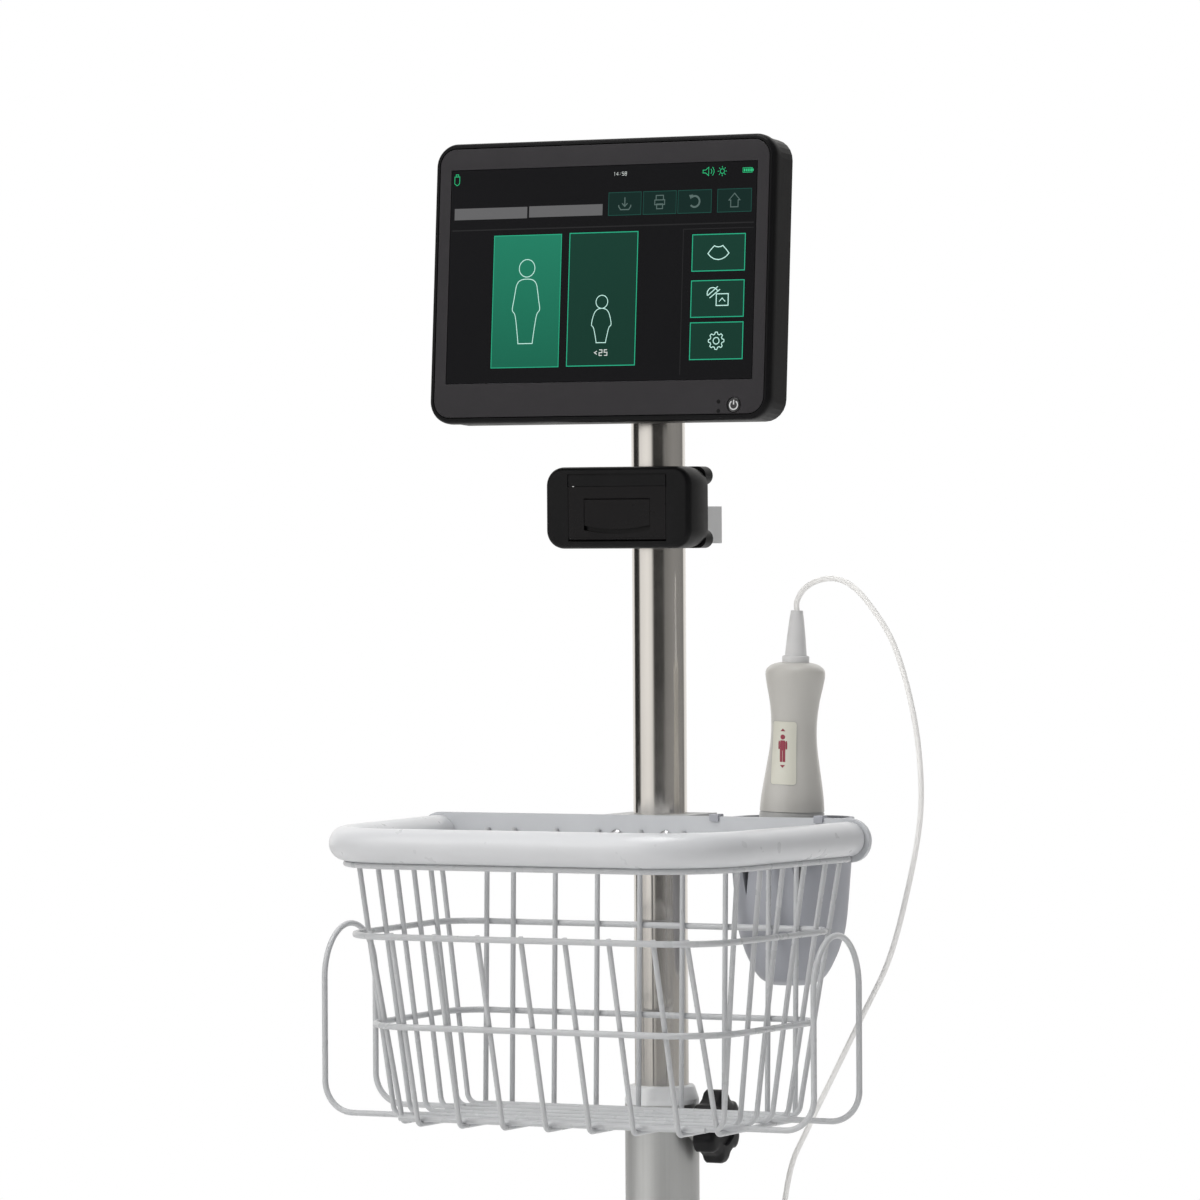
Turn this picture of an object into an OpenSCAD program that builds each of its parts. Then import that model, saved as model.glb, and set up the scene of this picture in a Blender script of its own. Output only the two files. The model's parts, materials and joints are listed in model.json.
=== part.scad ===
// Bladder scanner: a touch-screen console, a panel printer, a wire basket and a probe in its holder,
// all carried by a telescopic column on a five-legged castor base.
// The origin lies on the floor, on the axis of the column. The front faces -Y.

/* [Column] */
// Diameter of the polished inner pole
pole_d = 35; // [32:0.5:38]
// Wall of the inner pole
pole_wall = 1.5; // [1:0.25:3]
// Diameter of the outer column
column_d = 48.3; // [47:0.1:52]
// Wall of the outer column
column_wall = 2; // [1.5:0.1:3]
// Height of the outer column's top edge above the floor
column_top_z = 636; // [600:1:660]
// Lower end of the inner pole above the floor, at the shown height
pole_low_z = 350; // [300:5:400]
// Upper end of the inner pole above the floor
pole_top_z = 1172; // [1160:1:1176]

/* [Collar and knob] */
// Height of the tapered collar above the column
collar_h = 12; // [8:1:20]
// Diameter of the collar at its top
collar_top_d = 43; // [41:0.5:46]
// Length of the collar's sleeve inside the column
sleeve_h = 46; // [40:1:60]
// Drop of the clamp knob's axis below the column's top edge
knob_drop = 14; // [12:1:21]
// Diameter of the clamp knob over its lobes
knob_d = 48; // [40:1:52]
// Thickness of the clamp knob
knob_h = 19; // [14:1:24]
// Number of lobes on the clamp knob
knob_lobes = 6; // [4:1:8]
// Diameter of the clamp stud
stud_d = 8; // [6:1:10]

/* [Star base] */
// Distance from the column's axis to a castor's swivel axis
leg_reach = 265; // [240:5:300]
// Width of a leg where it meets the hub
leg_root_w = 46; // [40:1:56]
// Width of a leg near the castor
leg_tip_w = 32; // [26:1:38]
// Height of a leg where it meets the hub
leg_root_h = 44; // [34:1:50]
// Height of a leg above the castor
leg_tip_h = 22; // [18:1:28]
// Wall of the cast legs
leg_wall = 4; // [3:0.5:6]
// Diameter of the hub
hub_d = 82; // [74:1:95]
// Height of the hub above the legs' underside
hub_h = 62; // [50:1:80]

/* [Castors] */
// Height of the castors, floor to the legs' underside
castor_h = 98; // [94:1:110]
// Diameter of the wheels
wheel_d = 75; // [65:1:78]
// Width of the wheels
wheel_w = 24; // [18:1:28]
// Distance from the swivel axis to the wheel's axis, level
castor_trail = 26; // [18:1:30]
// Thickness of the fork's cheeks
cheek_t = 4; // [3:0.5:6]
// Diameter of the axle
axle_d = 8; // [6:0.5:10]
// Diameter of the swivel stem
stem_d = 11; // [9:0.5:12]

/* [Basket] */
// Height of the rim tube's centreline above the floor
rim_z = 811.5; // [800:0.5:830]
// Diameter of the rim tube
rim_d = 22; // [18:0.5:25]
// Half of the rim's width at the back, to the tube's centreline
rim_half_back = 148.4; // [140:0.2:160]
// Half of the rim's width at the front
rim_half_front = 134; // [125:0.5:145]
// Depth of the rim from the column's axis to the front centreline
rim_front = 212; // [200:1:230]
// Radius of the rim's front corners
rim_corner_r = 55; // [40:1:65]
// Height of the basket, rim centreline to floor
basket_h = 176.5; // [150:0.5:200]
// Half width of the wire cage at its floor, at the back
floor_half_back = 119.5; // [110:0.5:125]
// Half width of the wire cage at its floor, at the front
floor_half_front = 116.4; // [108:0.2:122]
// Distance from the column's axis to the floor's front edge
floor_front = 163; // [150:1:180]
// Diameter of the cage wires
wire_d = 3.4; // [2.8:0.1:4]
// Diameter of the two rings
ring_d = 4; // [3.4:0.1:5]
// Spacing of the lengthwise wires
wire_pitch = 30.8; // [28:0.2:32]
// Diameter of the cable hooks' rod
hook_d = 3.8; // [3:0.1:5]
// Distance of the cable hooks from the column's axis, sideways
hook_x = 174; // [168:1:185]
// Radius of the cable hooks' arch
hook_arch_r = 33.5; // [25:0.5:40]

/* [Back plate] */
// Height of the back plate
plate_h = 28; // [24:1:34]
// Thickness of the back plate
plate_t = 4; // [3:0.5:5]
// Drop of the back plate's middle below the rim's centreline
plate_drop = 1.1; // [0:0.1:3]
// Distance from the column's axis to the plate's front face
plate_front = 28; // [27:0.5:32]
// Thickness of the clamp's wall around the pole
clamp_wall = 6; // [5:0.5:8]

/* [Probe holder] */
// Width of the holder at its mouth
holder_w = 81; // [76:1:88]
// Depth of the holder at its mouth
holder_depth = 66; // [62:1:72]
// Height of the holder
holder_h = 108; // [104:1:116]
// Wall of the holder
holder_wall = 3; // [2:0.5:4]
// Distance of the holder's axis from the column's axis, sideways
holder_x = 90; // [86:1:100]

/* [Probe] */
// Diameter of the probe's waist
waist_d = 29.6; // [26:0.2:34]
// Diameter of the probe's shoulder
shoulder_d = 38.6; // [36:0.2:42]
// Diameter at the seam between the handle and the lower housing
seam_d = 42; // [40:0.5:45]
// Diameter of the lower housing
base_d = 51; // [46:0.5:52]
// Length of the handle, seam to collar
handle_l = 96; // [90:1:104]
// Length of the lower housing
base_l = 106.5; // [98:0.5:107]
// Length of the strain relief
relief_l = 33.5; // [28:0.5:40]
// Diameter of the strain relief at the handle
relief_d = 14.2; // [12:0.2:16]
// Diameter of the probe's cable
cable_d = 3.6; // [3:0.1:4]
// Lean of the probe to the right, in degrees
probe_lean = 1.9; // [0:0.1:3]

/* [Printer] */
// Width of the printer's face
printer_w = 104; // [98:1:110]
// Height of the printer's face
printer_h = 52.6; // [50:0.2:58]
// Depth of the printer's front housing
printer_depth = 29; // [27:0.5:34]
// Radius of the printer's corners
printer_corner_r = 17; // [10:0.5:20]
// Height of the printer's centre above the floor
printer_z = 1023.4; // [1000:0.2:1030]
// Distance from the column's axis to the printer's face
printer_front = 60; // [60:0.5:70]
// Width of the printer's door
door_w = 70; // [66:0.5:74]
// Height of the printer's door
door_h = 35; // [33:0.5:37]
// Width of the door's latch
latch_w = 47; // [40:0.5:52]
// Height of the door's latch
latch_h = 19.5; // [16:0.5:20]
// Diameter of the paper roll
roll_d = 27; // [20:0.5:27]
// Width of the paper roll
roll_w = 57; // [50:0.5:58]

/* [Console] */
// Width of the console
console_w = 244; // [235:1:256]
// Height of the console
console_h = 182; // [175:1:190]
// Depth of the front bezel
bezel_depth = 12; // [10:0.5:16]
// Depth of the rear cover
shell_depth = 24; // [20:0.5:28]
// Radius of the console's corners
console_corner_r = 15; // [10:0.5:20]
// Wall of the console's shells
shell_wall = 2.5; // [2:0.25:3.5]
// Width of the display's picture
screen_w = 217; // [210:1:222]
// Height of the display's picture
screen_h = 136; // [130:1:140]
// Height of the picture's centre above the bezel's centre
screen_rise = 4; // [2:0.5:6]
// Height of the console's centre above the floor
console_z = 1169; // [1160:1:1180]
// Distance from the column's axis to the console's face
console_front = 82; // [80:0.5:90]
// Lean of the console to the back, in degrees
console_tilt = 4.2; // [0:0.1:8]
// Diameter of the power button
button_d = 9.4; // [8:0.1:9.6]
// Radius of the supply inlet beside the battery
inlet_r = 3.2; // [2.5:0.1:4]

/* [Hidden] */
$fn = 64;

// Overrun of every cut past the face it opens
over = 1;
// Gap between pieces that move past each other
gap = 0.3;
// Radial clearance of a running or sliding fit
fit = 0.06;
// Depth to which two welded wires share metal
weld = 0.3;
// How much fatter a rod's bend is than its straights, as a share of its diameter
bend_swell_share = 0.008;
// How far each straight runs into the bend
bend_bite = 0.4;
// Sides of a corner in a lofted section
corner_steps = 6;

// Frame of a star: the legs' directions, one straight to the back
leg_angles = [for (i = [0:4]) 90 + 72 * i];

function mix(a, b, t) = a + (b - a) * t;

// Points of a rounded rectangle, anticlockwise
function round_points(half_w, half_d, r) = [
    for (q = [0:3], i = [0:corner_steps])
        let (a = 90 * q + 90 * i / corner_steps, sx = q == 0 || q == 3 ? 1 : -1, sy = q < 2 ? 1 : -1)
        [sx * (half_w - r) + r * cos(a), sy * (half_d - r) + r * sin(a)]
];

// Plate with rounded corners, lying on the XY plane
module round_plate(w, h, r, t) {
    linear_extrude(t) round_rect(w, h, r);
}

module round_rect(w, h, r) {
    union() {
        square([w - 2 * r, h], center = true);
        square([w, h - 2 * r], center = true);
        for (x = [-1, 1], y = [-1, 1]) translate([x * (w / 2 - r), y * (h / 2 - r)]) circle(r);
    }
}

// Solid through rounded sections, each row giving height, half width, half depth and corner radius.
// Rows that turn back inside earlier ones make a cup.
module loft(rows) {
    sections = [for (row = rows) round_points(row[1], row[2], row[3])];
    count = len(sections[0]);
    last = len(rows) - 1;
    points = [for (k = [0:last]) for (p = sections[k]) [p[0], p[1], rows[k][0]]];
    sides = [
        for (k = [0:last - 1], i = [0:count - 1])
            let (j = (i + 1) % count, a = k * count)
            each [[a + i, a + count + i, a + count + j], [a + i, a + count + j, a + j]]
    ];
    bottom = [for (i = [1:count - 2]) [0, i, i + 1]];
    top = [for (i = [1:count - 2]) [last * count, last * count + i + 1, last * count + i]];
    polyhedron(points = points, faces = concat(sides, bottom, top), convexity = 6);
}

// Outline of two discs joined by their tangents, the first at the origin and the second at distance d along X
module link_outline(d, r1, r2) {
    t = acos((r1 - r2) / d);
    union() {
        circle(r1);
        translate([d, 0]) circle(r2);
        polygon([
            [r1 * cos(t), r1 * sin(t)], [d + r2 * cos(t), r2 * sin(t)],
            [d + r2 * cos(t), -r2 * sin(t)], [r1 * cos(t), -r1 * sin(t)]
        ]);
    }
}

// Bar of round section through points of the XY plane, with its corners rounded
module bent_rod(points, radii, d, closed = false) {
    n = len(points);
    first = closed ? 0 : 1;
    final = closed ? n - 1 : n - 2;
    heading = [for (i = [0:n - 1]) let (v = points[(i + 1) % n] - points[i]) atan2(v[1], v[0])];
    turn = [for (i = [0:n - 1]) let (a = heading[i] - heading[(i + n - 1) % n]) a - 360 * round(a / 360)];
    cut = [for (i = [0:n - 1]) i < first || i > final ? 0 : radii[i - first] * tan(abs(turn[i]) / 2)];
    union() {
        for (i = [0:closed ? n - 1 : n - 2]) {
            j = (i + 1) % n;
            from = cut[i] > 0 ? cut[i] - bend_bite : 0;
            to = norm(points[j] - points[i]) - (cut[j] > 0 ? cut[j] - bend_bite : 0);
            translate(points[i]) rotate([0, 0, heading[i]]) translate([from, 0, 0])
                rotate([0, 90, 0]) cylinder(d = d, h = to - from);
        }
        for (i = [first:final]) {
            side = sign(turn[i]);
            r = radii[i - first];
            before = heading[(i + n - 1) % n];
            start = points[i] - cut[i] * [cos(before), sin(before)];
            centre = start + r * side * [-sin(before), cos(before)];
            from = side > 0 ? before - 90 : before + 90 + turn[i];
            translate(centre) rotate([0, 0, from]) rotate_extrude(angle = abs(turn[i]))
                translate([r, 0]) circle(r = d / 2 + d * bend_swell_share);
        }
    }
}

// Smooth curve through a route: points on a Catmull-Rom curve, some to each stretch
function curve_point(p, q, r, s, t) = (
    2 * q + (r - p) * t + (2 * p - 5 * q + 4 * r - s) * t * t + (3 * q - p - 3 * r + s) * t * t * t
) / 2;
function smooth(route, steps) = let (n = len(route)) concat(
    [for (i = [0:n - 2], k = [0:steps - 1])
        curve_point(route[max(i - 1, 0)], route[i], route[i + 1], route[min(i + 2, n - 1)], k / steps)],
    [route[n - 1]]
);
function unit(v) = v / norm(v);
function headings(path) = let (n = len(path))
    [for (i = [0:n - 1]) unit(path[min(i + 1, n - 1)] - path[max(i - 1, 0)])];
function across(v, t) = unit(v - (v * t) * t);

// Tube of diameter d along a path, its rings carried along without twist from the direction start
module tube_along(path, d, sides, start) {
    t = headings(path);
    n = len(path);
    frames = [for (i = 0, a = across(start, t[0]); i < n; i = i + 1, a = i < n ? across(a, t[i]) : a) a];
    points = [
        for (i = [0:n - 1], k = [0:sides - 1])
            let (b = cross(t[i], frames[i]), w = 360 * k / sides)
            path[i] + d / 2 * (cos(w) * frames[i] + sin(w) * b)
    ];
    skin = [
        for (i = [0:n - 2], k = [0:sides - 1])
            let (a = i * sides, m = (k + 1) % sides)
            each [[a + k, a + sides + k, a + sides + m], [a + k, a + sides + m, a + m]]
    ];
    start_cap = [for (k = [1:sides - 2]) [0, k, k + 1]];
    end_cap = [for (k = [1:sides - 2]) [(n - 1) * sides, (n - 1) * sides + k + 1, (n - 1) * sides + k]];
    polyhedron(points = points, faces = concat(skin, start_cap, end_cap), convexity = 8);
}

// Star base

column_foot = castor_h + leg_wall * 2;
socket_r = stem_d / 2 + fit;
tip_r = leg_tip_w / 2 + leg_wall;

// Side view of one leg, from the axis outwards, above its underside
module leg_side() {
    polygon([
        [0, 0], [leg_reach + tip_r, 0], [leg_reach + tip_r, leg_tip_h],
        [leg_reach - tip_r, leg_tip_h], [hub_d / 2, leg_root_h], [0, leg_root_h]
    ]);
}

module leg_plan(trim) {
    polygon([
        [0, leg_root_w / 2 - trim], [leg_reach, leg_tip_w / 2 - trim],
        [leg_reach, trim - leg_tip_w / 2], [0, trim - leg_root_w / 2]
    ]);
}

module star_leg() {
    intersection() {
        union() {
            linear_extrude(hub_h) leg_plan(0);
            translate([leg_reach, 0, 0]) cylinder(r = tip_r, h = leg_tip_h);
        }
        translate([0, hub_d, 0]) rotate([90, 0, 0]) linear_extrude(2 * hub_d) leg_side();
    }
}

// Hollow under a leg, with the roof parallel to the leg's top
module leg_pocket() {
    rib = leg_wall * 2;
    intersection() {
        translate([0, 0, -over]) linear_extrude(hub_h) intersection() {
            leg_plan(leg_wall);
            translate([hub_d / 2 + rib, -hub_d]) square([leg_reach - tip_r - hub_d / 2 - 2 * rib, 2 * hub_d]);
        }
        translate([0, hub_d, -leg_wall]) rotate([90, 0, 0]) linear_extrude(2 * hub_d) leg_side();
    }
}

module star_base() {
    color([0.8, 0.81, 0.82]) translate([0, 0, castor_h]) difference() {
        union() {
            cylinder(d = hub_d, h = hub_h - leg_wall);
            translate([0, 0, hub_h - leg_wall])
                cylinder(d1 = hub_d, d2 = hub_d - 2 * leg_wall, h = leg_wall);
            for (a = leg_angles) rotate([0, 0, a]) star_leg();
        }
        translate([0, 0, 2 * leg_wall]) cylinder(d = column_d, h = hub_h);
        translate([0, 0, -over]) cylinder(d = column_d - 6 * leg_wall, h = hub_h);
        for (a = leg_angles) rotate([0, 0, a]) {
            leg_pocket();
            translate([leg_reach, 0, -over]) cylinder(r = socket_r, h = leg_tip_h - leg_wall + over);
        }
    }
}

// Outer column with its collar and clamp knob

boss_d = 20;
boss_reach = 4;
knob_x = column_d / 2 + boss_reach - gap;
knob_z = column_top_z - knob_drop;
stud_tip = pole_d / 2 + gap;

module outer_column() {
    color([0.76, 0.77, 0.78]) difference() {
        union() {
            translate([0, 0, column_foot]) cylinder(d = column_d, h = column_top_z - column_foot);
            translate([0, 0, knob_z]) rotate([0, 90, 0])
                cylinder(d = boss_d, h = column_d / 2 + boss_reach - 2 * gap);
        }
        translate([0, 0, column_foot - over])
            cylinder(d = column_d - 2 * column_wall, h = column_top_z);
        translate([0, 0, knob_z]) rotate([0, 90, 0]) cylinder(r = stud_d / 2 + fit, h = column_d);
    }
}

module column_collar() {
    bore_r = pole_d / 2 + fit;
    sleeve_r = column_d / 2 - column_wall;
    color([0.83, 0.84, 0.85]) difference() {
        rotate_extrude() polygon([
            [bore_r, column_top_z - sleeve_h], [sleeve_r, column_top_z - sleeve_h],
            [sleeve_r, column_top_z], [column_d / 2, column_top_z],
            [column_d / 2, column_top_z + collar_h / 4],
            [collar_top_d / 2, column_top_z + collar_h - over],
            [collar_top_d / 2 - over, column_top_z + collar_h], [bore_r, column_top_z + collar_h]
        ]);
        translate([0, 0, knob_z]) rotate([0, 90, 0]) cylinder(r = stud_d / 2 + fit, h = column_d);
    }
}

// Lobed knob with its stud moulded in
module clamp_knob() {
    flute_r = knob_d * 0.5 * sin(180 / knob_lobes);
    dish_r = knob_d / 4;
    neck = knob_h / 4;
    color([0.06, 0.06, 0.065]) translate([knob_x, 0, knob_z]) rotate([0, 90, 0]) union() {
        difference() {
            union() {
                cylinder(d1 = boss_d, d2 = knob_d, h = neck);
                translate([0, 0, neck]) cylinder(d = knob_d, h = knob_h - 1.5 * neck);
                translate([0, 0, knob_h - neck / 2])
                    cylinder(d1 = knob_d, d2 = knob_d - neck, h = neck / 2);
            }
            for (i = [0:knob_lobes - 1]) rotate([0, 0, 360 * (i + 0.5) / knob_lobes])
                translate([knob_d / 2 + flute_r * 0.6, 0, -over])
                    cylinder(r = flute_r, h = knob_h + 2 * over);
            translate([0, 0, knob_h - neck / 2]) cylinder(r = dish_r, h = neck);
        }
        translate([0, 0, stud_tip - knob_x]) cylinder(d = stud_d, h = knob_x - stud_tip + neck);
    }
}

// Inner pole, with its glide inside the column and the head that carries the console

glide_h = 40;
head_wall = 4.5;
head_low_z = 1112;
head_top_z = pole_top_z + head_wall;
pin_y = -30;
pin_z = 1150;
pin_d = 8;
lug_half = 14;
lug_r = 8;
ear_t = 6;
pin_half = lug_half + gap + ear_t + head_wall / 3;

module inner_pole() {
    color([0.84, 0.82, 0.8]) translate([0, 0, pole_low_z]) difference() {
        cylinder(d = pole_d, h = pole_top_z - pole_low_z);
        translate([0, 0, -over])
            cylinder(d = pole_d - 2 * pole_wall, h = pole_top_z - pole_low_z + 2 * over);
    }
}

module pole_glide() {
    plug_r = pole_d / 2 - pole_wall;
    glide_r = column_d / 2 - column_wall - fit;
    lip = glide_h / 4;
    color([0.2, 0.2, 0.21]) translate([0, 0, pole_low_z]) difference() {
        union() {
            cylinder(r = plug_r, h = glide_h);
            translate([0, 0, -lip]) cylinder(r = glide_r, h = lip);
        }
        translate([0, 0, -lip - over]) cylinder(r = plug_r - 2 * pole_wall, h = glide_h + lip + 2 * over);
    }
}

module pole_head() {
    head_r = pole_d / 2 + head_wall;
    color([0.1, 0.1, 0.105]) difference() {
        union() {
            translate([0, 0, head_low_z]) cylinder(r = head_r, h = head_top_z - head_low_z - over);
            translate([0, 0, head_top_z - over]) cylinder(r1 = head_r, r2 = head_r - over, h = over);
            translate([-lug_half, 0, pin_z]) rotate([90, 0, 90]) linear_extrude(2 * lug_half)
                mirror([1, 0]) link_outline(-pin_y, lug_r * 2, lug_r);
        }
        translate([0, 0, head_low_z - over]) cylinder(d = pole_d, h = pole_top_z - head_low_z + over);
        translate([-pin_half, pin_y, pin_z]) rotate([0, 90, 0]) cylinder(d = pin_d, h = 2 * pin_half);
    }
}

// Basket

floor_z = rim_z - basket_h;
cage_back = plate_front + wire_d / 2 - weld;
cage_back_low = 34;
ring_offset = (wire_d + ring_d) / 2 - weld;
cage_front = rim_front - ring_offset;
cage_half_back = rim_half_back - ring_offset;
cage_half_front = rim_half_front - ring_offset;
rim_wire_z = rim_z - (rim_d + ring_d) / 2 + weld;
// Heights of the two rings, as shares of the way from the rim's wire to the floor
ring_shares = [0.277, 0.631];
ring_corner_front = 40;
ring_corner_back = 25;
wire_bend_r = 8;
lengthwise_bend_r = 5;
lengthwise_z = floor_z - wire_d + weld;
outer_wire_x = 112;
// Depths of the crosswise wires at the rim and at the floor, and of the plain floor wires
cross_top = [34, 52, 79, 106, 134, 162];
cross_low = [44, 60, 82, 104, 126, 148];
floor_only = [38, 157];

// The cage of wire centrelines, at share t of the way down
function cage_z(t) = mix(rim_wire_z, floor_z, t);
function cage_y_back(t) = -mix(cage_back, cage_back_low, t);
function cage_y_front(t) = -mix(cage_front, floor_front, t);
function cage_half(y, t) = let (
    s = (cage_y_back(t) - y) / (cage_y_back(t) - cage_y_front(t))
) mix(mix(cage_half_back, floor_half_back, t), mix(cage_half_front, floor_half_front, t), s);

// Depth of the cage's front at a distance x from the middle, where its corner is rounded
function front_y(x, t) = let (
    r = ring_corner_front - ring_offset, e = abs(x) - mix(cage_half_front, floor_half_front, t) + r
) cage_y_front(t) + (e > 0 ? r - sqrt(r * r - e * e) : 0);

module rim_tube() {
    color([0.9, 0.9, 0.9]) translate([0, 0, rim_z]) bent_rod(
        [[-rim_half_back, -plate_front], [-rim_half_front, -rim_front],
         [rim_half_front, -rim_front], [rim_half_back, -plate_front]],
        [rim_corner_r, rim_corner_r], rim_d);
}

module cage_ring(t) {
    back = cage_y_back(t) + ring_offset;
    front = cage_y_front(t) - ring_offset;
    half_b = cage_half(cage_y_back(t), t) + ring_offset;
    half_f = cage_half(cage_y_front(t), t) + ring_offset;
    translate([0, 0, cage_z(t)]) bent_rod(
        [[half_b, back], [-half_b, back], [-half_f, front], [half_f, front]],
        [ring_corner_back, ring_corner_back, ring_corner_front, ring_corner_front], ring_d, closed = true);
}

// Open wire under the rim tube that the side wires hang from
module rim_wire() {
    end_y = -plate_front - weld;
    translate([0, 0, rim_wire_z]) bent_rod(
        [[-rim_half_back, end_y], [-rim_half_front, -rim_front],
         [rim_half_front, -rim_front], [rim_half_back, end_y]],
        [rim_corner_r, rim_corner_r], ring_d);
}

module basket_rings() {
    color([0.86, 0.86, 0.865]) {
        for (t = ring_shares) cage_ring(t);
        rim_wire();
    }
}

// Wires that come down the back, run along the floor and rise at the front to the upper ring
module lengthwise_wires() {
    low = lengthwise_z;
    top_share = ring_shares[0];
    mid_share = ring_shares[1];
    color([0.84, 0.84, 0.845]) for (i = [-4:4]) {
        x = abs(i) == 4 ? sign(i) * outer_wire_x : i * wire_pitch;
        high = front_y(x, top_share);
        middle = front_y(x, mid_share);
        foot = middle + (middle - high) * (1 - mid_share) / (mid_share - top_share);
        translate([x, 0, 0]) rotate([90, 0, 90]) bent_rod(
            [[-cage_back, rim_z + wire_d], [-cage_back_low, low],
             [foot, low], [high, cage_z(top_share) + ring_d / 2]],
            [lengthwise_bend_r, lengthwise_bend_r], wire_d);
    }
}

// Wires that come down one side, cross the floor and rise on the other side
module crosswise_wires() {
    rise = rim_wire_z - floor_z;
    color([0.84, 0.84, 0.845]) {
        for (i = [0:len(cross_top) - 1]) {
            y_top = -cross_top[i];
            y_low = -cross_low[i];
            half_top = cage_half(y_top, 0);
            half_low = cage_half(y_low, 1);
            lean = atan2(y_top - y_low, rise);
            slope = norm([y_top - y_low, rise]);
            translate([0, y_low, floor_z]) rotate([90 - lean, 0, 0]) bent_rod(
                [[-half_top, slope], [-half_low, 0], [half_low, 0], [half_top, slope]],
                [wire_bend_r, wire_bend_r], wire_d);
        }
        for (y = floor_only) {
            half = cage_half(-y, 1) - wire_bend_r;
            translate([-half, -y, floor_z]) rotate([0, 90, 0]) cylinder(d = wire_d, h = 2 * half);
        }
    }
}

hook_bend_r = 20;
hook_y = 103.5;
hook_top_z = 755;
hook_inner_x = outer_wire_x - wire_d;

// Inverted U with its feet turned in under the basket
module cable_hook() {
    arch_z = hook_top_z - hook_arch_r;
    foot_z = floor_z + weld;
    translate([hook_x, -hook_y, arch_z]) rotate([90, 0, 90]) rotate_extrude(angle = 180)
        translate([hook_arch_r, 0]) circle(d = hook_d);
    for (y = [-hook_arch_r, hook_arch_r]) translate([0, y - hook_y, 0]) rotate([90, 0, 0]) bent_rod(
        [[hook_x, arch_z], [hook_x, foot_z], [hook_inner_x, foot_z]], [hook_bend_r], hook_d);
}

module cable_hooks() {
    color([0.86, 0.86, 0.865]) {
        cable_hook();
        mirror([1, 0, 0]) cable_hook();
    }
}

plate_z = rim_z - plate_drop;
plate_screw_x = 17.7;
plate_screw_d = 5;
screw_head_d = 9;
screw_head_h = 2.6;
rear_screw_x = pole_d / 2 + clamp_wall;
clamp_half = rear_screw_x + clamp_wall;

module back_plate() {
    color([0.7, 0.71, 0.73]) translate([0, -plate_front + plate_t, plate_z]) rotate([90, 0, 0]) difference() {
        linear_extrude(plate_t) union() {
            square([2 * rim_half_back, plate_h], center = true);
            for (side = [-1, 1]) translate([side * rim_half_back, 0]) circle(d = plate_h);
        }
        for (x = [-plate_screw_x, plate_screw_x])
            translate([x, 0, -over]) cylinder(d = plate_screw_d, h = plate_t + 2 * over);
    }
}

// Half of a block that grips the pole, reaching from the split to depth reach, with holes for its screws
module grip_half(reach, half, h, split, screw_x, screw_d) {
    difference() {
        translate([-half, split, -h / 2]) cube([2 * half, reach - split, h]);
        translate([0, 0, -h / 2 - over]) cylinder(d = pole_d, h = h + 2 * over);
        for (x = [-screw_x, screw_x]) translate([x, split - over, 0]) rotate([-90, 0, 0])
            cylinder(d = screw_d, h = reach + 2 * over);
    }
}

grip_split = 0.5;
basket_grip_back = pole_d / 2 + clamp_wall;
basket_screw_deep = 7;

module basket_clamp_front() {
    reach = plate_front - plate_t;
    color([0.66, 0.67, 0.69]) translate([0, 0, plate_z]) difference() {
        mirror([0, 1, 0]) grip_half(reach, clamp_half, plate_h, grip_split, rear_screw_x, plate_screw_d);
        for (x = [-plate_screw_x, plate_screw_x]) translate([x, -reach - over, 0]) rotate([-90, 0, 0])
            cylinder(d = plate_screw_d, h = basket_screw_deep + over);
    }
}

module basket_clamp_rear() {
    color([0.66, 0.67, 0.69]) translate([0, 0, plate_z])
        grip_half(basket_grip_back, clamp_half, plate_h, grip_split, rear_screw_x, plate_screw_d);
}

// Screw with a domed head, its head's underside on the origin and its shank along -Z
module dome_screw(shank_d, shank_l, head_d, head_h) {
    rotate_extrude() polygon([
        [0, -shank_l], [shank_d / 2, -shank_l], [shank_d / 2, 0], [head_d / 2, 0],
        [head_d / 2, head_h * 0.4], [head_d * 0.36, head_h * 0.85], [head_d * 0.2, head_h], [0, head_h]
    ]);
}

module basket_screws() {
    color([0.78, 0.78, 0.8]) {
        for (x = [-plate_screw_x, plate_screw_x]) translate([x, -plate_front, plate_z]) rotate([90, 0, 0])
            dome_screw(plate_screw_d, plate_t + basket_screw_deep - gap, screw_head_d, screw_head_h);
        for (x = [-rear_screw_x, rear_screw_x]) translate([x, basket_grip_back, plate_z]) rotate([-90, 0, 0])
            dome_screw(plate_screw_d, 2 * clamp_wall + basket_grip_back, screw_head_d, screw_head_h);
    }
}

// Probe holder: a deep cup behind the back plate, hung over its top edge

holder_sink = 1.4;
holder_top_z = plate_z + plate_h / 2 - holder_sink;
holder_y = -plate_front + plate_t + holder_depth / 2;
tab_w = 6;
// Shape of the cup: height, width and depth as shares of the whole, and corner radius as a share of the depth
holder_shares = [
    [0, 0.3, 0.36, 0.16], [0.03, 0.47, 0.58, 0.27], [0.075, 0.57, 0.7, 0.32], [0.139, 0.66, 0.79, 0.36],
    [0.23, 0.76, 0.86, 0.39], [0.41, 0.877, 0.92, 0.42], [1, 1, 1, 0.45]
];
notch_x = 18.5;
notch_w = 17;
notch_h = 50;
hanger_h = 14;
hanger_half = 38;
tab_x = 37;

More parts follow.
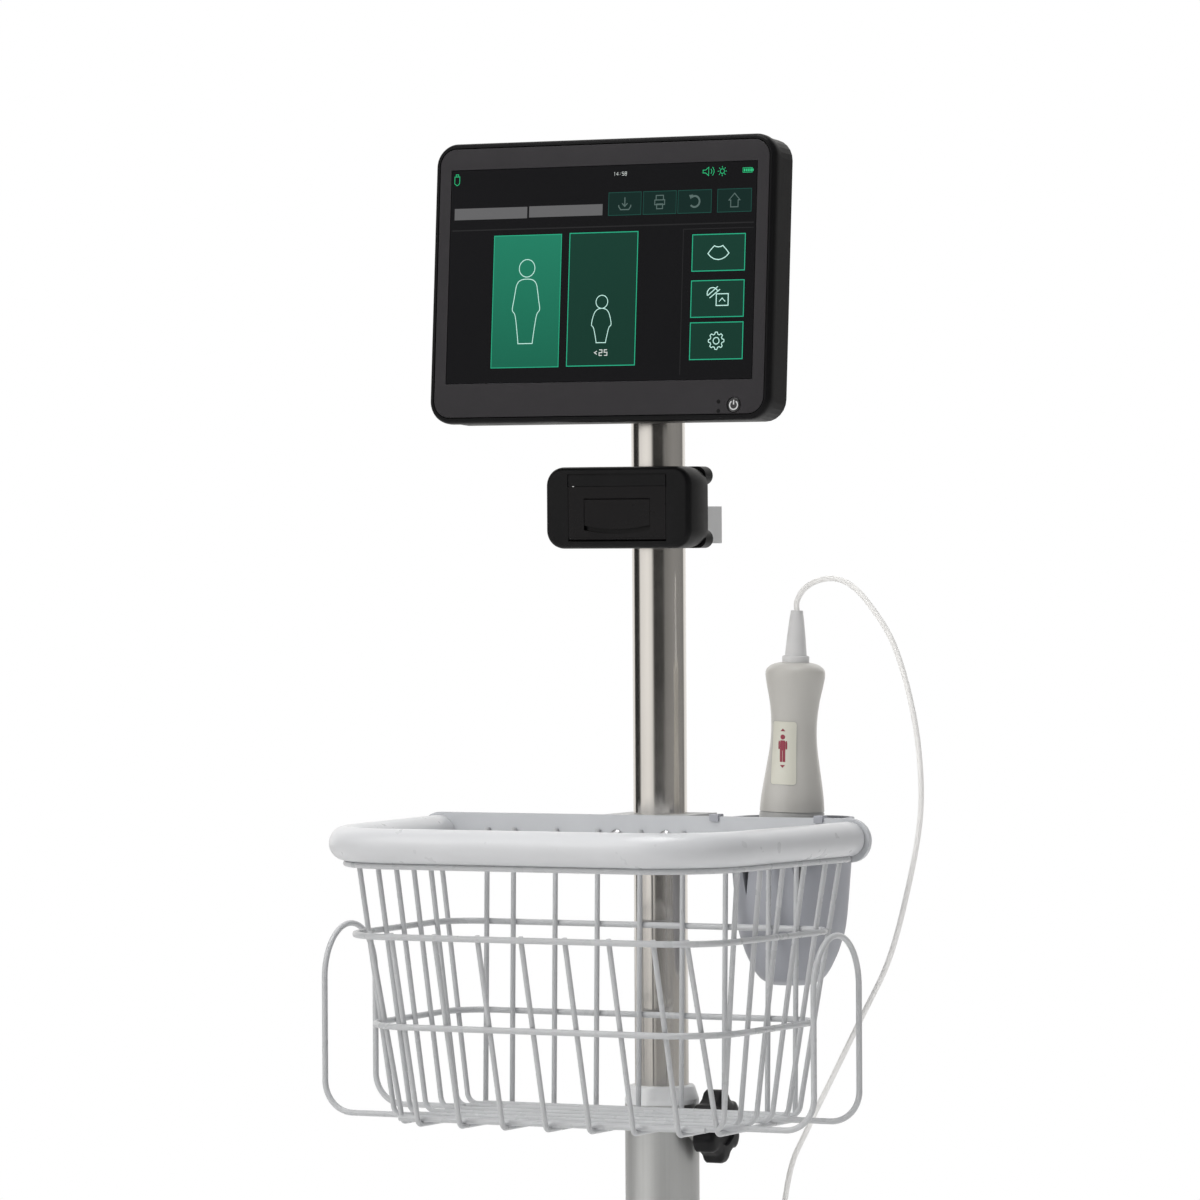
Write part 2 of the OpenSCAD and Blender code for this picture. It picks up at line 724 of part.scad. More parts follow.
module probe_holder() {
    w = holder_wall;
    outer = [for (s = holder_shares)
        [s[0] * holder_h, s[1] * holder_w / 2, s[2] * holder_depth / 2, s[3] * holder_depth]];
    inner = [for (i = [len(outer) - 1:-1:0]) let (s = outer[i])
        [i == len(outer) - 1 ? s[0] : s[0] + w * (1 - s[0] / holder_h), s[1] - w, s[2] - w, s[3] - w]];
    front = -plate_front + plate_t;
    top = plate_z + plate_h / 2;
    color([0.57, 0.58, 0.61]) union() {
        translate([holder_x, holder_y, holder_top_z - holder_h]) difference() {
            loft(concat(outer, inner));
            for (x = [-notch_x, notch_x])
                translate([x, -holder_depth / 4, holder_h]) rotate([90, 0, 0]) linear_extrude(holder_depth)
                    polygon([[-notch_w / 2, over], [-notch_w / 2, 0], [0, -notch_h], [notch_w / 2, 0],
                             [notch_w / 2, over]]);
        }
        translate([holder_x - hanger_half, front, top - hanger_h])
            cube([2 * hanger_half, w * 0.8, hanger_h - w]);
        for (x = [-tab_x, tab_x]) translate([holder_x + x - tab_w / 2, 0, 0]) {
            translate([0, front, top - hanger_h]) cube([tab_w, holder_depth / 4, hanger_h - w]);
            translate([0, front, top - hanger_h]) cube([tab_w, w, hanger_h + w / 2]);
            translate([0, -plate_front - w / 2, top]) cube([tab_w, plate_t + w, w / 2]);
            translate([0, -plate_front - w / 2, top - w]) cube([tab_w, w / 2, w + w / 4]);
        }
    }
}

// Probe: turned about its own axis, which leans a little to the right

seam_z = 827;
probe_x = 90.6;
probe_y = 9;
collar_d = 17.6;
collar_t = 4.4;
probe_wall = 2.2;
nose_h = 25;
relief_tip_d = 7.8;
label_t = 0.5;
label_h = 41;
label_z = 38;
label_arc = 73;
label_steps = 8;
label_turn = -97;
bore_d = waist_d - 4 * probe_wall;

module at_probe() {
    translate([probe_x, probe_y, seam_z]) rotate([0, probe_lean, 0]) children();
}

// Outline of the handle from the seam up: height as a share of its length, and radius
handle_route = [
    [0, seam_d / 2], [0.12, mix(waist_d, seam_d, 0.82) / 2], [0.3, mix(waist_d, seam_d, 0.39) / 2],
    [0.42, mix(waist_d, seam_d, 0.11) / 2], [0.53, waist_d / 2],
    [0.64, mix(waist_d, shoulder_d, 0.07) / 2], [0.75, mix(waist_d, shoulder_d, 0.36) / 2],
    [0.85, mix(waist_d, shoulder_d, 0.8) / 2], [0.92, shoulder_d / 2],
    [0.955, mix(collar_d, shoulder_d, 0.91) / 2], [0.985, mix(collar_d, shoulder_d, 0.55) / 2],
    [1, collar_d / 2]
];
handle_curve = [for (p = smooth(handle_route, 3)) [p[1], p[0] * handle_l]];

// Part of the handle's skin under the label, from depth label_t out to grow beyond the skin
module label_patch(grow) {
    radii = [for (p = handle_curve) [p[1], p[0]]];
    rows = [
        for (k = [0:label_steps]) let (z = label_z + label_h * (k / label_steps - 0.5)) [lookup(z, radii), z]
    ];
    rotate([0, 0, label_turn - label_arc / 2]) rotate_extrude(angle = label_arc) polygon(concat(
        [for (p = rows) [p[0] + grow, p[1]]],
        [for (i = [len(rows) - 1:-1:0]) [rows[i][0] - label_t, rows[i][1]]]
    ));
}

module probe_handle() {
    color([0.83, 0.82, 0.8]) at_probe() difference() {
        rotate_extrude() polygon(concat([[0, 0]], handle_curve, [[0, handle_l]]));
        translate([0, 0, -over]) cylinder(d = bore_d, h = handle_l * 0.9);
        label_patch(over);
    }
}

module probe_label() {
    color([0.92, 0.9, 0.83]) at_probe() label_patch(0);
}

// Outline of the lower housing from the seam down: depth as a share of its length, and radius
base_route = [
    [0.03, seam_d / 2], [0.15, mix(seam_d, base_d, 0.14) / 2], [0.3, mix(seam_d, base_d, 0.42) / 2],
    [0.45, mix(seam_d, base_d, 0.76) / 2], [0.62, base_d / 2], [0.85, base_d * 0.498], [1, base_d * 0.49]
];

module probe_base() {
    low = base_l - nose_h;
    skin = [for (p = smooth(base_route, 2)) [p[1], -p[0] * low]];
    color([0.78, 0.78, 0.76]) at_probe() difference() {
        rotate_extrude() polygon(concat(
            [[0, 0], [seam_d / 2 - probe_wall / 4, 0], [seam_d / 2 - probe_wall / 4, -probe_wall / 3]],
            skin, [[0, -low]]
        ));
        translate([0, 0, -low - over]) cylinder(d = bore_d, h = low + 2 * over);
    }
}

// Acoustic nose: a dome whose outline is a quarter of an ellipse
module probe_nose() {
    color([0.36, 0.37, 0.39]) at_probe() translate([0, 0, nose_h - base_l]) rotate_extrude() polygon(concat(
        [[0, 0]], [for (a = [0:8:80]) [base_d * 0.48 * cos(a), -nose_h * sin(a)]], [[0, -nose_h]]
    ));
}

module transducer() {
    color([0.6, 0.5, 0.3]) at_probe() translate([0, 0, nose_h - base_l])
        cylinder(r = bore_d / 2 - gap, h = handle_l * 0.9);
}

module strain_relief() {
    color([0.8, 0.8, 0.79]) at_probe() translate([0, 0, handle_l]) rotate_extrude() polygon([
        [0, 0], [collar_d / 2, 0], [collar_d / 2, collar_t * 0.8], [collar_d / 2 - collar_t * 0.2, collar_t],
        [relief_d / 2, collar_t], [relief_d * 0.42, relief_l * 0.5], [relief_d * 0.34, relief_l * 0.8],
        [relief_tip_d / 2, relief_l], [0, relief_l]
    ]);
}

// Printer

printer_back_y = -printer_front + printer_depth;
printer_lid_y = -20.5;
printer_wall = 2.5;
inner_w = printer_w - 4 * printer_wall;
inner_h = printer_h - 3 * printer_wall;
door_drop = 21.4;
door_low_z = printer_z - door_drop;
door_top_z = door_low_z + door_h;
door_t = 4;
door_in_y = -printer_front + door_t;
hinge_r = 2.5;
hinge_y = -printer_front + hinge_r;
hinge_z = door_low_z + hinge_r;
hinge_pin_d = 2;
arm_t = 2.5;
roll_y = -39;
roll_drop = 4;
roll_z = printer_z - roll_drop;
platen_d = 7;
platen_inset = 1.5;
platen_y = door_in_y + platen_d / 2 + platen_inset;
platen_z = door_top_z - platen_d / 2 - platen_inset;
platen_pin_d = 3;
arm_x = roll_w / 2 + 3 * gap;
latch_t = 2;
latch_sink = 0.2;
latch_rise = 4.6;
latch_bead = 0.1;
latch_y = -printer_front + latch_t / 2 + latch_sink;
latch_z = printer_z + latch_rise;
latch_r = latch_t / 2 + latch_bead;
latch_pin_d = 1.4;
latch_drop = 2.4;
latch_recess = latch_t + 2 * gap;
scoop_h = 3;

// Places a flat outline upright, its extrusion running from depth y to the front
module upright(y) {
    translate([0, y, 0]) rotate([90, 0, 0]) children();
}

// Front housing: rounded face, open behind, with the door's opening
module printer_housing() {
    h2 = printer_h / 2;
    w2 = printer_w / 2;
    r = printer_corner_r;
    edge = 3;
    color([0.07, 0.07, 0.075]) difference() {
        translate([0, 0, printer_z]) upright(printer_back_y) loft([
            [0, w2 - over, h2 - over, r], [edge * 3, w2, h2, r], [printer_depth - edge, w2, h2, r],
            [printer_depth - edge * 0.35, w2 - edge * 0.35, h2 - edge * 0.35, r - edge * 0.35],
            [printer_depth, w2 - edge, h2 - edge, r - edge]
        ]);
        translate([0, 0, printer_z]) upright(printer_back_y + over)
            round_plate(inner_w, inner_h, r - 2 * printer_wall, printer_depth - printer_wall + over);
        translate([-door_w / 2 - gap, -printer_front - over, door_low_z - gap])
            cube([door_w + 2 * gap, printer_depth, door_h + 2 * gap]);
        translate([-door_w / 2 - arm_t, hinge_y, hinge_z]) rotate([0, 90, 0])
            cylinder(d = hinge_pin_d + 2 * fit, h = door_w + 2 * arm_t);
    }
}

module printer_back() {
    lobe_r = 6;
    lobe_x = 43.5;
    lobe_z = printer_h / 2 - lobe_r;
    color([0.11, 0.11, 0.115]) translate([0, 0, printer_z]) upright(printer_lid_y) difference() {
        linear_extrude(printer_lid_y - printer_back_y) union() {
            round_rect(inner_w - 2 * lobe_r, printer_h - 2 * printer_wall, lobe_r);
            for (x = [-1, 1], z = [-1, 1]) {
                translate([x * lobe_x, z * lobe_z]) circle(lobe_r);
                translate([x * lobe_x / 2, z * lobe_z]) square([lobe_x, 2 * lobe_r], center = true);
            }
        }
        translate([0, 0, printer_wall])
            round_plate(roll_w + 4 * gap, inner_h - 3 * printer_wall, printer_wall, printer_depth);
    }
}

module print_head() {
    head_y = platen_y + platen_d / 2 + gap;
    head_low = platen_z - gap;
    color([0.55, 0.56, 0.58]) translate([-roll_w / 2, head_y, head_low])
        cube([roll_w, printer_wall, printer_z + inner_h / 2 - head_low]);
}

module paper_roll() {
    color([0.96, 0.96, 0.95]) translate([-roll_w / 2, roll_y, roll_z]) rotate([0, 90, 0]) difference() {
        cylinder(d = roll_d, h = roll_w);
        translate([0, 0, -over]) cylinder(d = roll_d * 0.42, h = roll_w + 2 * over);
    }
}

// Outline with a straight top at zero and a lower edge that bows down by drop
module latch_outline(w, h, drop) {
    sag_r = (w * w / 4 + drop * drop) / (2 * drop);
    intersection() {
        translate([-w / 2, -h]) square([w, h]);
        union() {
            translate([-w / 2, drop - h]) square([w, h]);
            translate([0, sag_r - h]) circle(sag_r, $fn = 360);
        }
    }
}

module door_arm() {
    reach = platen_y - door_in_y + over;
    rotate([90, 0, 90]) linear_extrude(arm_t) difference() {
        union() {
            circle(platen_pin_d);
            translate([-reach, -platen_pin_d]) square([reach, 2 * platen_pin_d]);
        }
        circle(r = platen_pin_d / 2 + fit);
    }
}

module printer_door() {
    recess_top = latch_r + gap;
    color([0.085, 0.085, 0.09]) difference() {
        union() {
            translate([-door_w / 2, -printer_front, hinge_z]) cube([door_w, door_t, door_h - hinge_r]);
            translate([-door_w / 2, hinge_y, hinge_z]) rotate([0, 90, 0]) cylinder(r = hinge_r, h = door_w);
            translate([-door_w / 2 - arm_t / 2, hinge_y, hinge_z]) rotate([0, 90, 0])
                cylinder(d = hinge_pin_d, h = door_w + arm_t);
            translate([arm_x, platen_y, platen_z]) door_arm();
            translate([-arm_x - arm_t, platen_y, platen_z]) door_arm();
        }
        translate([0, 0, latch_z + recess_top]) upright(-printer_front + latch_recess)
            linear_extrude(latch_recess + over)
                latch_outline(latch_w + 2 * gap, latch_h + recess_top - latch_r + scoop_h, latch_drop);
        translate([-latch_w / 2 - arm_t, latch_y, latch_z]) rotate([0, 90, 0])
            cylinder(d = latch_pin_d + 2 * fit, h = latch_w + 2 * arm_t);
    }
}

module platen_roller() {
    pin_half = arm_x + arm_t;
    color([0.12, 0.12, 0.12]) translate([0, platen_y, platen_z]) rotate([0, 90, 0]) union() {
        translate([0, 0, -roll_w / 2]) cylinder(d = platen_d, h = roll_w);
        translate([0, 0, -pin_half]) cylinder(d = platen_pin_d, h = 2 * pin_half);
    }
}

// Pull-out latch with a bowed lower edge, turning on pins along its top edge
module door_latch() {
    color([0.1, 0.1, 0.105]) union() {
        translate([0, 0, latch_z]) upright(latch_y + latch_t / 2) linear_extrude(latch_t)
            latch_outline(latch_w, latch_h - latch_r, latch_drop);
        translate([-latch_w / 2, latch_y, latch_z]) rotate([0, 90, 0]) cylinder(r = latch_r, h = latch_w);
        translate([-latch_w / 2 - arm_t / 2, latch_y, latch_z]) rotate([0, 90, 0])
            cylinder(d = latch_pin_d, h = latch_w + arm_t);
    }
}

printer_grip_half = 33;
printer_grip_h = 24;
printer_grip_z = printer_z - 11.4;
printer_grip_back = 26;
printer_screw_x = 26;

module printer_clamp_front() {
    color([0.74, 0.75, 0.76]) translate([0, 0, printer_grip_z]) mirror([0, 1, 0])
        grip_half(-printer_lid_y, printer_grip_half, printer_grip_h, grip_split, printer_screw_x,
                  plate_screw_d);
}

module printer_clamp_rear() {
    color([0.74, 0.75, 0.76]) translate([0, 0, printer_grip_z])
        grip_half(printer_grip_back, printer_grip_half, printer_grip_h, grip_split, printer_screw_x,
                  plate_screw_d);
}

module clamp_screws() {
    shank_l = printer_grip_back - printer_lid_y - gap;
    color([0.78, 0.78, 0.8]) for (x = [-printer_screw_x, printer_screw_x])
        translate([x, printer_grip_back, printer_grip_z]) rotate([-90, 0, 0])
            dome_screw(plate_screw_d, shank_l, screw_head_d, screw_head_h);
}

// Console, in its own leaning frame: X right, Z up along the glass, Y into the housing

module at_console() {
    translate([0, -console_front, console_z]) rotate([-console_tilt, 0, 0]) children();
}

// Places a flat outline's extrusion so that it starts at depth y and runs backwards
module deep(y) {
    translate([0, y, 0]) rotate([-90, 0, 0]) mirror([0, 1, 0]) children();
}

glass_t = 1.8;
glass_margin = 1.2;
face_t = 3;
panel_t = 4;
button_x = 97.5;
button_low = 81.5;
button_travel = 0.8;
button_h = 7;
button_lip = 0.7;
shell_back = bezel_depth + shell_depth;
pivot_depth = (console_front + pin_y) * cos(console_tilt) - (pin_z - console_z) * sin(console_tilt);
pivot_up = (console_front + pin_y) * sin(console_tilt) + (pin_z - console_z) * cos(console_tilt);
vesa_pitch = 75;
vesa_half = 45;
vesa_t = 3;
mount_screw_d = 4;

module front_bezel() {
    w2 = console_w / 2;
    h2 = console_h / 2;
    r = console_corner_r;
    edge = 2;
    glass_w = screen_w + 2 * glass_margin + 2 * gap;
    glass_h = screen_h + 2 * glass_margin + 2 * gap;
    color([0.2, 0.195, 0.2]) at_console() difference() {
        deep(0) loft([
            [0, w2 - edge, h2 - edge, r - edge],
            [edge * 0.35, w2 - edge * 0.35, h2 - edge * 0.35, r - edge * 0.35],
            [edge, w2, h2, r], [bezel_depth * 0.6, w2, h2, r],
            [bezel_depth * 0.6 + over / 2, w2 - over, h2 - over, r - over],
            [bezel_depth, w2 - over, h2 - over, r - over]
        ]);
        deep(face_t)
            round_plate(console_w - 3 * shell_wall, console_h - 3 * shell_wall, r - shell_wall, bezel_depth);
        translate([0, 0, screen_rise]) {
            deep(-over) linear_extrude(glass_t + over) square([glass_w, glass_h], center = true);
            deep(-over) linear_extrude(bezel_depth)
                square([screen_w - 4 * glass_margin, screen_h - 4 * glass_margin], center = true);
        }
        translate([button_x, 0, -button_low]) deep(-over) cylinder(d = button_d + 2 * gap, h = bezel_depth);
    }
}

module cover_glass() {
    color([0.01, 0.01, 0.012]) at_console() translate([0, 0, screen_rise]) deep(0) linear_extrude(glass_t)
        square([screen_w + 2 * glass_margin, screen_h + 2 * glass_margin], center = true);
}

module display_panel() {
    color([0.25, 0.27, 0.3]) at_console() translate([0, 0, screen_rise]) deep(face_t) linear_extrude(panel_t)
        square([screen_w + 4 * glass_margin, screen_h + 2 * glass_margin], center = true);
}

board_w = 150;
board_h = 110;
board_t = 1.6;
board_gap = 3;
board_y = face_t + panel_t + board_gap;

module main_board() {
    color([0.05, 0.3, 0.15]) at_console() deep(face_t + panel_t) union() {
        translate([0, 0, board_gap]) linear_extrude(board_t) square([board_w, board_h], center = true);
        for (x = [-1, 1], y = [-1, 1]) translate([x * (board_w / 2 - board_y), y * (board_h / 2 - board_y), 0])
            cylinder(d = board_y / 2, h = board_gap + board_t / 2);
    }
}

module battery_pack() {
    pack = [board_w * 0.72, board_h * 0.5, shell_back - shell_wall - board_y - board_t];
    color([0.15, 0.25, 0.45]) at_console() deep(board_y + board_t)
        linear_extrude(pack[2]) square([pack[0], pack[1]], center = true);
}

// Rear shell with its bevelled back and open front
module rear_cover() {
    w2 = console_w / 2 - over;
    h2 = console_h / 2 - over;
    r = console_corner_r - over;
    s = shell_wall;
    bevel = shell_depth / 3;
    vent_h = 20;
    vent_w = 2;
    color([0.09, 0.09, 0.095]) at_console() difference() {
        deep(bezel_depth) loft([
            [shell_depth - s, w2 - 2 * bevel - s, h2 - 2 * bevel - s, r],
            [shell_depth - bevel - s * 0.6, w2 - s, h2 - s, r - s], [0, w2 - s, h2 - s, r - s],
            [0, w2, h2, r], [shell_depth - bevel, w2, h2, r],
            [shell_depth - bevel / 2, w2 - bevel * 0.7, h2 - bevel * 0.7, r],
            [shell_depth, w2 - 2 * bevel, h2 - 2 * bevel, r]
        ]);
        for (x = [-1, 1], z = [-1, 1]) translate([x * vesa_pitch / 2, 0, pivot_up + z * vesa_pitch / 2])
            deep(shell_back - 2 * s) cylinder(d = mount_screw_d, h = 3 * s);
        for (i = [-6:6]) translate([i * 3 * vent_w, 0, console_h / 2 - 2 * bevel - vent_h])
            deep(shell_back - 2 * s) linear_extrude(3 * s) square([vent_w, vent_h], center = true);
        translate([-w2 - over, bezel_depth + shell_depth / 3, -h2 / 2]) rotate([0, 90, 0])
            cylinder(r = inlet_r, h = s + 2 * over);
        translate([plug_x, 0, pivot_up]) deep(shell_back - 2 * s) cylinder(r = plug_r * 0.6, h = 3 * s);
    }
}

plug_x = -58;
plug_r = 6.5;
plug_reach = 22;

module cover_screws() {
    color([0.5, 0.5, 0.52]) at_console() {
        for (x = [-1, 1], z = [-1, 1])
            translate([x * vesa_pitch / 2, shell_back + vesa_t, pivot_up + z * vesa_pitch / 2])
                rotate([-90, 0, 0]) dome_screw(mount_screw_d, vesa_t + shell_wall, 2 * mount_screw_d, mount_screw_d / 2);
    }
}

module power_button() {
    color([0.05, 0.05, 0.055]) at_console() translate([button_x, 0, -button_low]) union() {
        deep(-button_travel / 4) cylinder(d = button_d, h = button_h);
        deep(face_t + button_travel + gap) cylinder(r = button_d / 2 + button_lip, h = over);
    }
}

module tilt_plate() {
    ear_reach = pivot_depth - shell_back;
    color([0.13, 0.13, 0.135]) at_console() union() {
        difference() {
            translate([0, 0, pivot_up]) deep(shell_back)
                round_plate(2 * vesa_half, 2 * vesa_half, ear_t, vesa_t);
            for (x = [-1, 1], z = [-1, 1]) translate([x * vesa_pitch / 2, 0, pivot_up + z * vesa_pitch / 2])
                deep(shell_back - over) cylinder(d = mount_screw_d, h = vesa_t + 2 * over);
        }
        for (side = [-1, 1])
            translate([side * (lug_half + gap + ear_t / 2) - ear_t / 2, pivot_depth, pivot_up])
            rotate([90, 0, 90]) difference() {
                linear_extrude(ear_t) intersection() {
                    mirror([1, 0]) link_outline(ear_reach, lug_r, 2 * lug_r);
                    translate([vesa_t / 2 - ear_reach, -vesa_half]) square([2 * vesa_half, 2 * vesa_half]);
                }
                translate([0, 0, -over]) cylinder(r = pin_d / 2 + fit, h = ear_t + 2 * over);
            }
    }
}

module tilt_pin() {
    color([0.6, 0.6, 0.62]) translate([-pin_half, pin_y, pin_z]) rotate([0, 90, 0])
        cylinder(d = pin_d, h = 2 * pin_half);
}

// Right-angle plug on the tilt axis, so that its cable end only turns when the console tilts
module cable_plug() {
    color([0.25, 0.25, 0.26]) at_console() translate([plug_x, 0, pivot_up]) union() {
        deep(shell_back) cylinder(r = plug_r, h = pivot_depth - shell_back + plug_r - over);
        deep(pivot_depth + plug_r - over) cylinder(r1 = plug_r, r2 = plug_r - over, h = over);
        deep(shell_back - shell_wall) cylinder(r = plug_r * 0.6, h = 2 * shell_wall);
        translate([0, pivot_depth, 0]) rotate([0, -90, 0])
            cylinder(r1 = plug_r * 0.88, r2 = cable_d * 0.8, h = plug_reach);
    }
}

// Cable, in two stretches that meet at the lowest point of its hanging loop

loop_end = [18, 66, 417];
cable_lead = 6;
lean_axis = [sin(probe_lean), 0, cos(probe_lean)];
relief_tip = [probe_x, probe_y, seam_z] + (handle_l + relief_l) * lean_axis;
plug_tip_x = plug_x - plug_reach - gap;
loop_route = [
    relief_tip, relief_tip + cable_lead * lean_axis, [99, 11, 970], [107, 12, 975], [119, 12, 977],
    [131, 13, 973], [144, 13, 961], [160, 15, 936], [171, 17, 900], [176, 20, 862], [174, 25, 823], [162, 32, 777],
    [144, 41, 730], [121, 49, 692], [100, 52, 655], [79, 54, 617], [65, 56, 587], [54, 60, 529],
    [48, 63, 480], [42, 65, 444], [33, 66, 424], [26, 66, 418], [21, 66, 417], loop_end
];
riser_route = [
    loop_end - [gap, 0, 0], [14, 66, 417], [9, 66, 418], [2, 65, 422], [-8, 60, 437], [-14, 52, 465],
    [-17, 46, 510], [-18, 43, 600], [-18, 42, 760], [-18, 42, 920], [-18, 42, 1030], [-20, 43, 1068],
    [-30, 44, 1090], [-50, 41, 1107], [-76, 28, 1120], [-97, 8, 1132], [-105, -14, 1143], [-102, -26, 1149],
    [plug_tip_x - 2 * cable_lead, pin_y, pin_z], [plug_tip_x - cable_lead, pin_y, pin_z],
    [plug_tip_x, pin_y, pin_z]
];

module cable_loop() {
    color([0.88, 0.87, 0.85]) tube_along(smooth(loop_route, 2), cable_d, 8, [0, 1, 0]);
}

module cable_riser() {
    color([0.88, 0.87, 0.85]) tube_along(smooth(riser_route, 2), cable_d, 8, [0, 1, 0]);
}

// Castors, each trailing outwards at rest

axle_z = wheel_d / 2;
crown_d = 38;
crown_gap = 4;
crown_low_z = wheel_d + crown_gap;
crown_top_z = castor_h - 2 * gap;
cheek_gap = 0.8;
web_draft = 1;
cheek_y = wheel_w / 2 + cheek_gap;
stem_h = leg_tip_h - leg_wall - over;
pedal_x = 27;
pedal_z = 85;
pedal_r = 4.5;
pedal_pin_d = 4;
pedal_l = 34;
pedal_w = 22;
pedal_t = 4;
pedal_rise = 11;
ear_r = 7;

module at_castor(i) {
    rotate([0, 0, leg_angles[i]]) translate([leg_reach, 0, 0]) children();
}

// Places a flat outline of the castor's side view, its extrusion running from side y to the right
module sideways(y) {
    translate([0, y, 0]) rotate([90, 0, 0]) children();
}

module fork_cheek(braked) {
    slope = atan2(castor_h - axle_z, -castor_trail);
    union() {
        intersection() {
            translate([castor_trail, axle_z]) rotate(slope)
                link_outline(norm([castor_trail, castor_h - axle_z]), axle_d, crown_d / 2);
            translate([-crown_d, 0]) square([3 * crown_d, crown_top_z]);
        }
        if (braked) translate([pedal_x, pedal_z]) {
            circle(ear_r);
            translate([-pedal_x, -ear_r]) square([pedal_x, 2 * ear_r]);
        }
    }
}

module castor_fork(i, braked) {
    axle_half = cheek_y + cheek_t + over;
    color([0.16, 0.16, 0.165]) at_castor(i) difference() {
        union() {
            translate([0, 0, crown_low_z]) cylinder(d = crown_d, h = crown_top_z - crown_low_z - over);
            translate([0, 0, crown_top_z - over]) cylinder(d1 = crown_d, d2 = crown_d - 2 * over, h = over);
            for (y = [cheek_y + cheek_t, -cheek_y]) sideways(y) linear_extrude(cheek_t) fork_cheek(braked);
            translate([0, 0, crown_top_z - over]) cylinder(d = stem_d, h = stem_h + over);
            translate([castor_trail, 0, axle_z]) sideways(axle_half) cylinder(d = axle_d, h = 2 * axle_half);
        }
        if (braked) translate([pedal_x, 0, pedal_z]) sideways(axle_half)
            cylinder(d = pedal_pin_d + 2 * fit, h = 2 * axle_half);
    }
}

// Wheel with a rounded tread, a dished web and a bore for the axle
module castor_wheel(i) {
    r = wheel_d / 2;
    w = wheel_w / 2;
    hub_r = axle_d * 1.4;
    web_r = hub_r + web_draft;
    color([0.3, 0.3, 0.31]) at_castor(i) translate([castor_trail, 0, axle_z]) rotate([90, 0, 0])
        rotate_extrude() polygon([
            [axle_d / 2 + fit, -w], [hub_r, -w], [web_r, -w * 0.55], [r * 0.7, -w * 0.55],
            [r * 0.76, -w], [r * 0.9, -w], [r * 0.97, -w * 0.75], [r, -w * 0.35],
            [r, w * 0.35], [r * 0.97, w * 0.75], [r * 0.9, w], [r * 0.76, w],
            [r * 0.7, w * 0.55], [web_r, w * 0.55], [hub_r, w], [axle_d / 2 + fit, w]
        ]);
}

// Foot lever that turns on a pin between the fork's cheeks
module brake_pedal(i) {
    barrel_half = cheek_y - gap;
    pin_half = cheek_y + cheek_t;
    color([0.2, 0.2, 0.21]) at_castor(i) translate([pedal_x, 0, pedal_z]) union() {
        sideways(barrel_half) cylinder(r = pedal_r, h = 2 * barrel_half);
        sideways(pin_half) cylinder(d = pedal_pin_d, h = 2 * pin_half);
        rotate([0, -pedal_rise, 0]) {
            translate([0, -pedal_w / 2, -pedal_t / 2]) cube([pedal_l - pedal_w / 2, pedal_w, pedal_t]);
            translate([pedal_l - pedal_w / 2, 0, -pedal_t / 2]) cylinder(d = pedal_w * 1.2, h = pedal_t);
        }
    }
}

star_base();
outer_column();
column_collar();
clamp_knob();
inner_pole();
pole_glide();
pole_head();
rim_tube();
basket_rings();
lengthwise_wires();
crosswise_wires();
cable_hooks();
back_plate();
basket_clamp_front();
basket_clamp_rear();
basket_screws();
probe_holder();
printer_clamp_front();
printer_clamp_rear();
clamp_screws();
printer_back();
printer_housing();
print_head();
paper_roll();
printer_door();
platen_roller();
door_latch();
tilt_pin();
tilt_plate();
front_bezel();
cover_glass();
display_panel();
main_board();
battery_pack();
rear_cover();
cover_screws();
power_button();
cable_plug();
probe_handle();
probe_base();
probe_nose();
strain_relief();
probe_label();
transducer();
cable_loop();
cable_riser();
castor_fork(0, false);  // castor_fork_1
castor_fork(1, false);  // castor_fork_2
castor_fork(2, true);  // castor_fork_3
castor_fork(3, true);  // castor_fork_4
castor_fork(4, false);  // castor_fork_5
castor_wheel(0);  // castor_wheel_1
castor_wheel(1);  // castor_wheel_2
castor_wheel(2);  // castor_wheel_3
castor_wheel(3);  // castor_wheel_4
castor_wheel(4);  // castor_wheel_5
brake_pedal(2);  // brake_pedal_1
brake_pedal(3);  // brake_pedal_2
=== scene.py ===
"""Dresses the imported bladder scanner: console, panel printer, wire basket, probe, column and castor base."""
import json
import logging
import math
from contextlib import contextmanager
from dataclasses import dataclass, field
from enum import Enum
from typing import Any, Iterator, Sequence

import bmesh
import bpy
import numpy as np
from mathutils import Matrix, Vector

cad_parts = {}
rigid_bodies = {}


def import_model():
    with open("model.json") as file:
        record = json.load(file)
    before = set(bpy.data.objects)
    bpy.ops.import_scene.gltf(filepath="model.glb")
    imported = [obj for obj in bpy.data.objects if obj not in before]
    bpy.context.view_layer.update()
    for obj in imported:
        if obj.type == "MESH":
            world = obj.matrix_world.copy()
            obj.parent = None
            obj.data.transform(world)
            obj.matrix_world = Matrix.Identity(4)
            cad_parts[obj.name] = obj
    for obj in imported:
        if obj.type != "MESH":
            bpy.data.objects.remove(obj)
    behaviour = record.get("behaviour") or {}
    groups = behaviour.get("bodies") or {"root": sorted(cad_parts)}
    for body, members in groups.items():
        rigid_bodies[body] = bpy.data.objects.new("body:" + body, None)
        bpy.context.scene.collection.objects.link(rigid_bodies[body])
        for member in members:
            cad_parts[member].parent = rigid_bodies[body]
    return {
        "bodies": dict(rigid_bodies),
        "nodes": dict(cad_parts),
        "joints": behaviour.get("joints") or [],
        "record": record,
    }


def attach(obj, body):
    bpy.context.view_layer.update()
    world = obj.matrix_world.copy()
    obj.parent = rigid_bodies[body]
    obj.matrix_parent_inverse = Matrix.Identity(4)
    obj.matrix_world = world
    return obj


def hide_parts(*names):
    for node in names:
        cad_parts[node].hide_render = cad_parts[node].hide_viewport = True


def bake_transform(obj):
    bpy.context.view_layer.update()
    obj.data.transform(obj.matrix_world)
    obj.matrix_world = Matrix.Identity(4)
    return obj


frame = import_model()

LOG = logging.getLogger("dressing")
MM = 0.001
